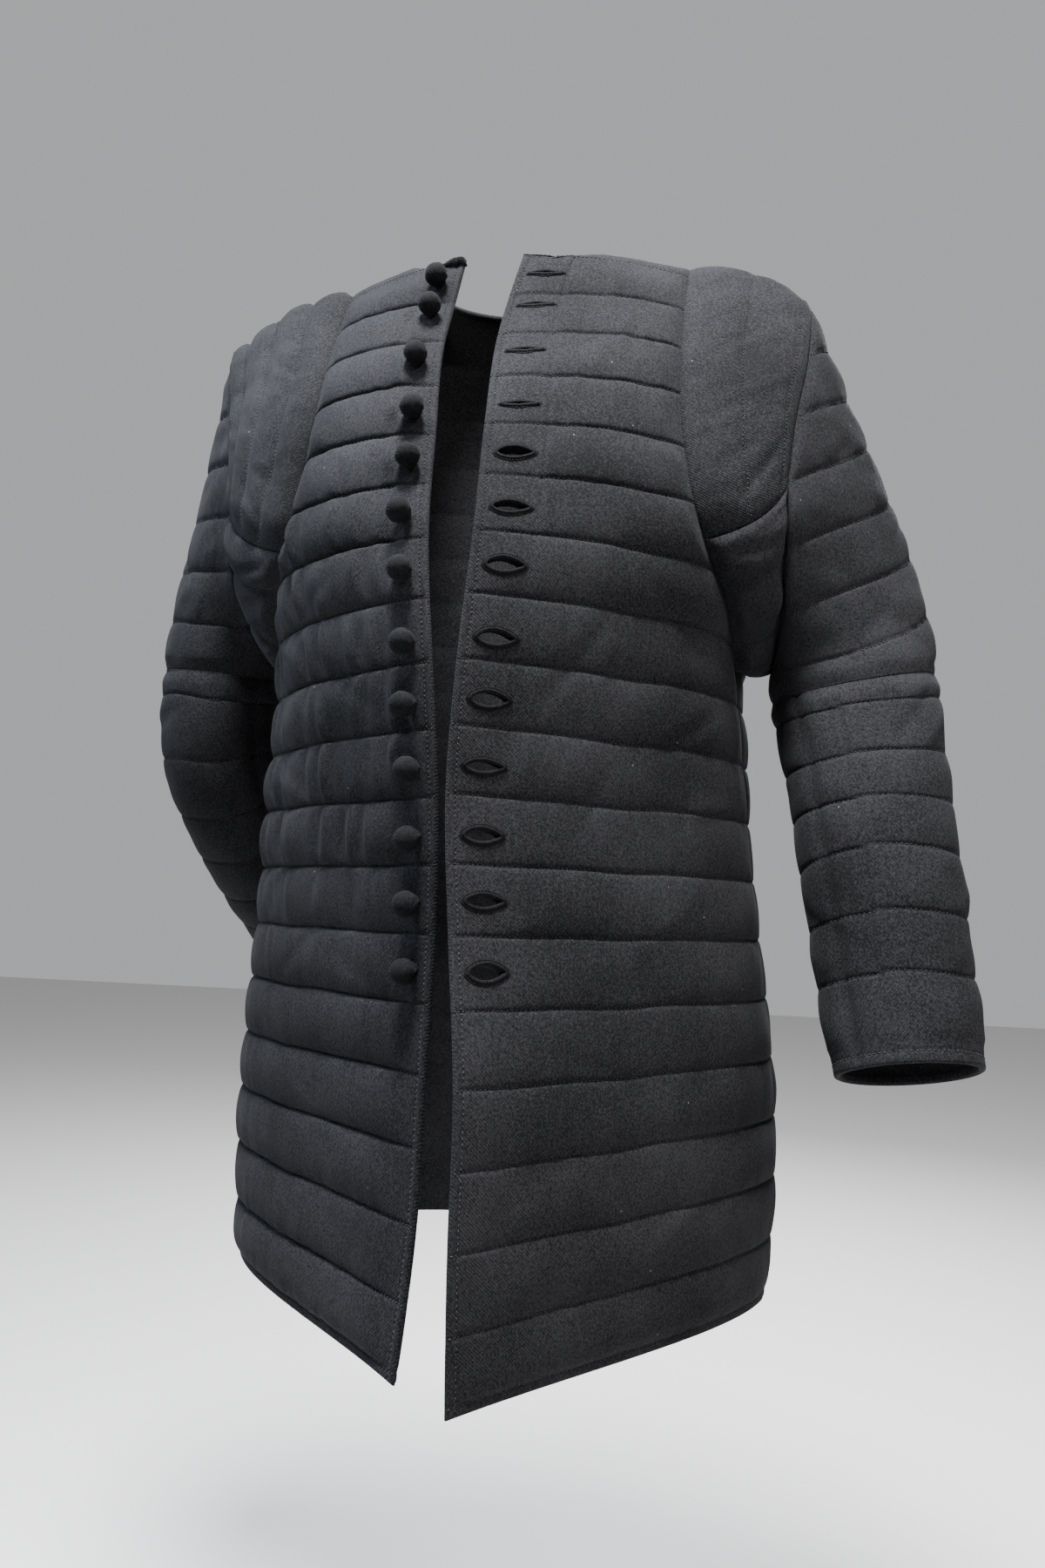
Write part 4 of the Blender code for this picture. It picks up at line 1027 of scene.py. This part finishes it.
# ---- stage
def add_stage():
    corners = [(x, y, FLOOR_Z) for x, y in ((-9, -9), (9, -9), (9, 9), (-9, 9))]
    floor = new_mesh("floor", corners, [(0, 1, 2, 3)])
    floor.materials.append(plain_material("pale_floor", (0.62, 0.61, 0.6), 0.9)[0])
    new_object("floor", floor)
    for name, place, aim, size, power, colour in LAMPS:
        light = bpy.data.lights.new(name, "AREA")
        light.shape, light.size, light.energy, light.color = "DISK", size, power, colour
        lamp = new_object(name, light)
        lamp.location = place
        lamp.rotation_euler = (Vector(aim) - Vector(place)).to_track_quat("-Z", "Y").to_euler()
    world = bpy.data.worlds.new("studio")
    world.use_nodes = True
    sky = {"Color": (0.8, 0.81, 0.83, 1), "Strength": WORLD_STRENGTH}
    set_inputs(world.node_tree.nodes["Background"], sky)
    bpy.context.scene.world = world
    data = bpy.data.cameras.new("camera")
    data.lens, data.sensor_width, data.clip_start = CAMERA_LENS, 36, 0.05
    heading, tilt, roll = (Matrix.Rotation(math.radians(angle), 4, axis) for angle, axis in (
        (CAMERA_HEADING, "Z"), (90 + CAMERA_TILT, "X"), (CAMERA_ROLL, "Z")))
    camera = new_object("camera", data)
    camera.matrix_world = Matrix.Translation(CAMERA_PLACE) @ heading @ tilt @ roll
    bpy.context.scene.camera = camera


# ---- the coat
def declare(piece, slot, *nodes):
    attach(piece, "root")
    if nodes:
        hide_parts(*nodes)


def shaped_pieces():
    """Every piece of cloth by name, with how far both its faces stand off its grid."""
    rows = dense_rows()
    seam_rows = rows[rows >= ROW_ARM]
    under_rows = rows[(rows >= ROW_SIDE) & (rows <= ROW_ARM)][::-1]
    grid, shares = back_grid(rows)
    pieces = [Cloth("back", 0, grid, shape_torso, rows=rows, columns=shares)]
    for side in (1, -1):
        grid, shares = front_grid(rows, side)
        shoulder = arm_strip(seam_rows, OVER_ARM[side], SHOULDER_BULGE, SHOULDER_COLUMNS, side)
        underarm = arm_strip(under_rows, UNDER_ARM[side], UNDERARM_BULGE, UNDERARM_COLUMNS, side)
        # Every second armhole point: up over the shoulder, then back under the arm.
        ring = np.concatenate([shoulder[::2, -1], underarm[::2, -1][-2:0:-1]])
        upper = upper_sleeve_grid(ring, side)
        lower, t, angles = lower_sleeve_grid(ring, side)
        pieces += [
            Cloth("front", side, grid, shape_torso, rows=rows, columns=shares),
            Cloth("shoulder", side, shoulder, shape_shoulder),
            Cloth("underarm", side, underarm, shape_underarm),
            Cloth("upper_sleeve", side, upper, shape_upper_sleeve, closed=True),
            Cloth("lower_sleeve", side, lower, shape_lower_sleeve, closed=True, rows=t, columns=angles),
        ]
    share_seam_normals(pieces)
    straighten_armhole([piece for piece in pieces if piece.kind in ("shoulder", "underarm")])
    for piece in pieces:
        piece.shape(piece)
    return {piece.name: piece for piece in pieces}


def build_coat():
    cloth, ball, thread, worked = (cloth_material(*looks) for looks in CLOTHS)
    pieces = shaped_pieces()
    for name, piece in pieces.items():
        wall = wall_object(piece, cloth)
        if name == "front_left":
            cut_buttonholes(wall, piece)
        declare(wall, "quilted_cloth", name)
        declare(stitch_object(f"stitches_{name}", piece_stitches(piece), thread), "quilted_cloth")
    declare(add_buttonhole_work(pieces["front_left"], worked), "button_cloth")
    for number, (row, _) in enumerate(CLOSURES, start=1):
        button = add_button(number, row, pieces["front_right"], ball)
        declare(button, "button_cloth", f"button_{number:02d}")


add_stage()
build_coat()
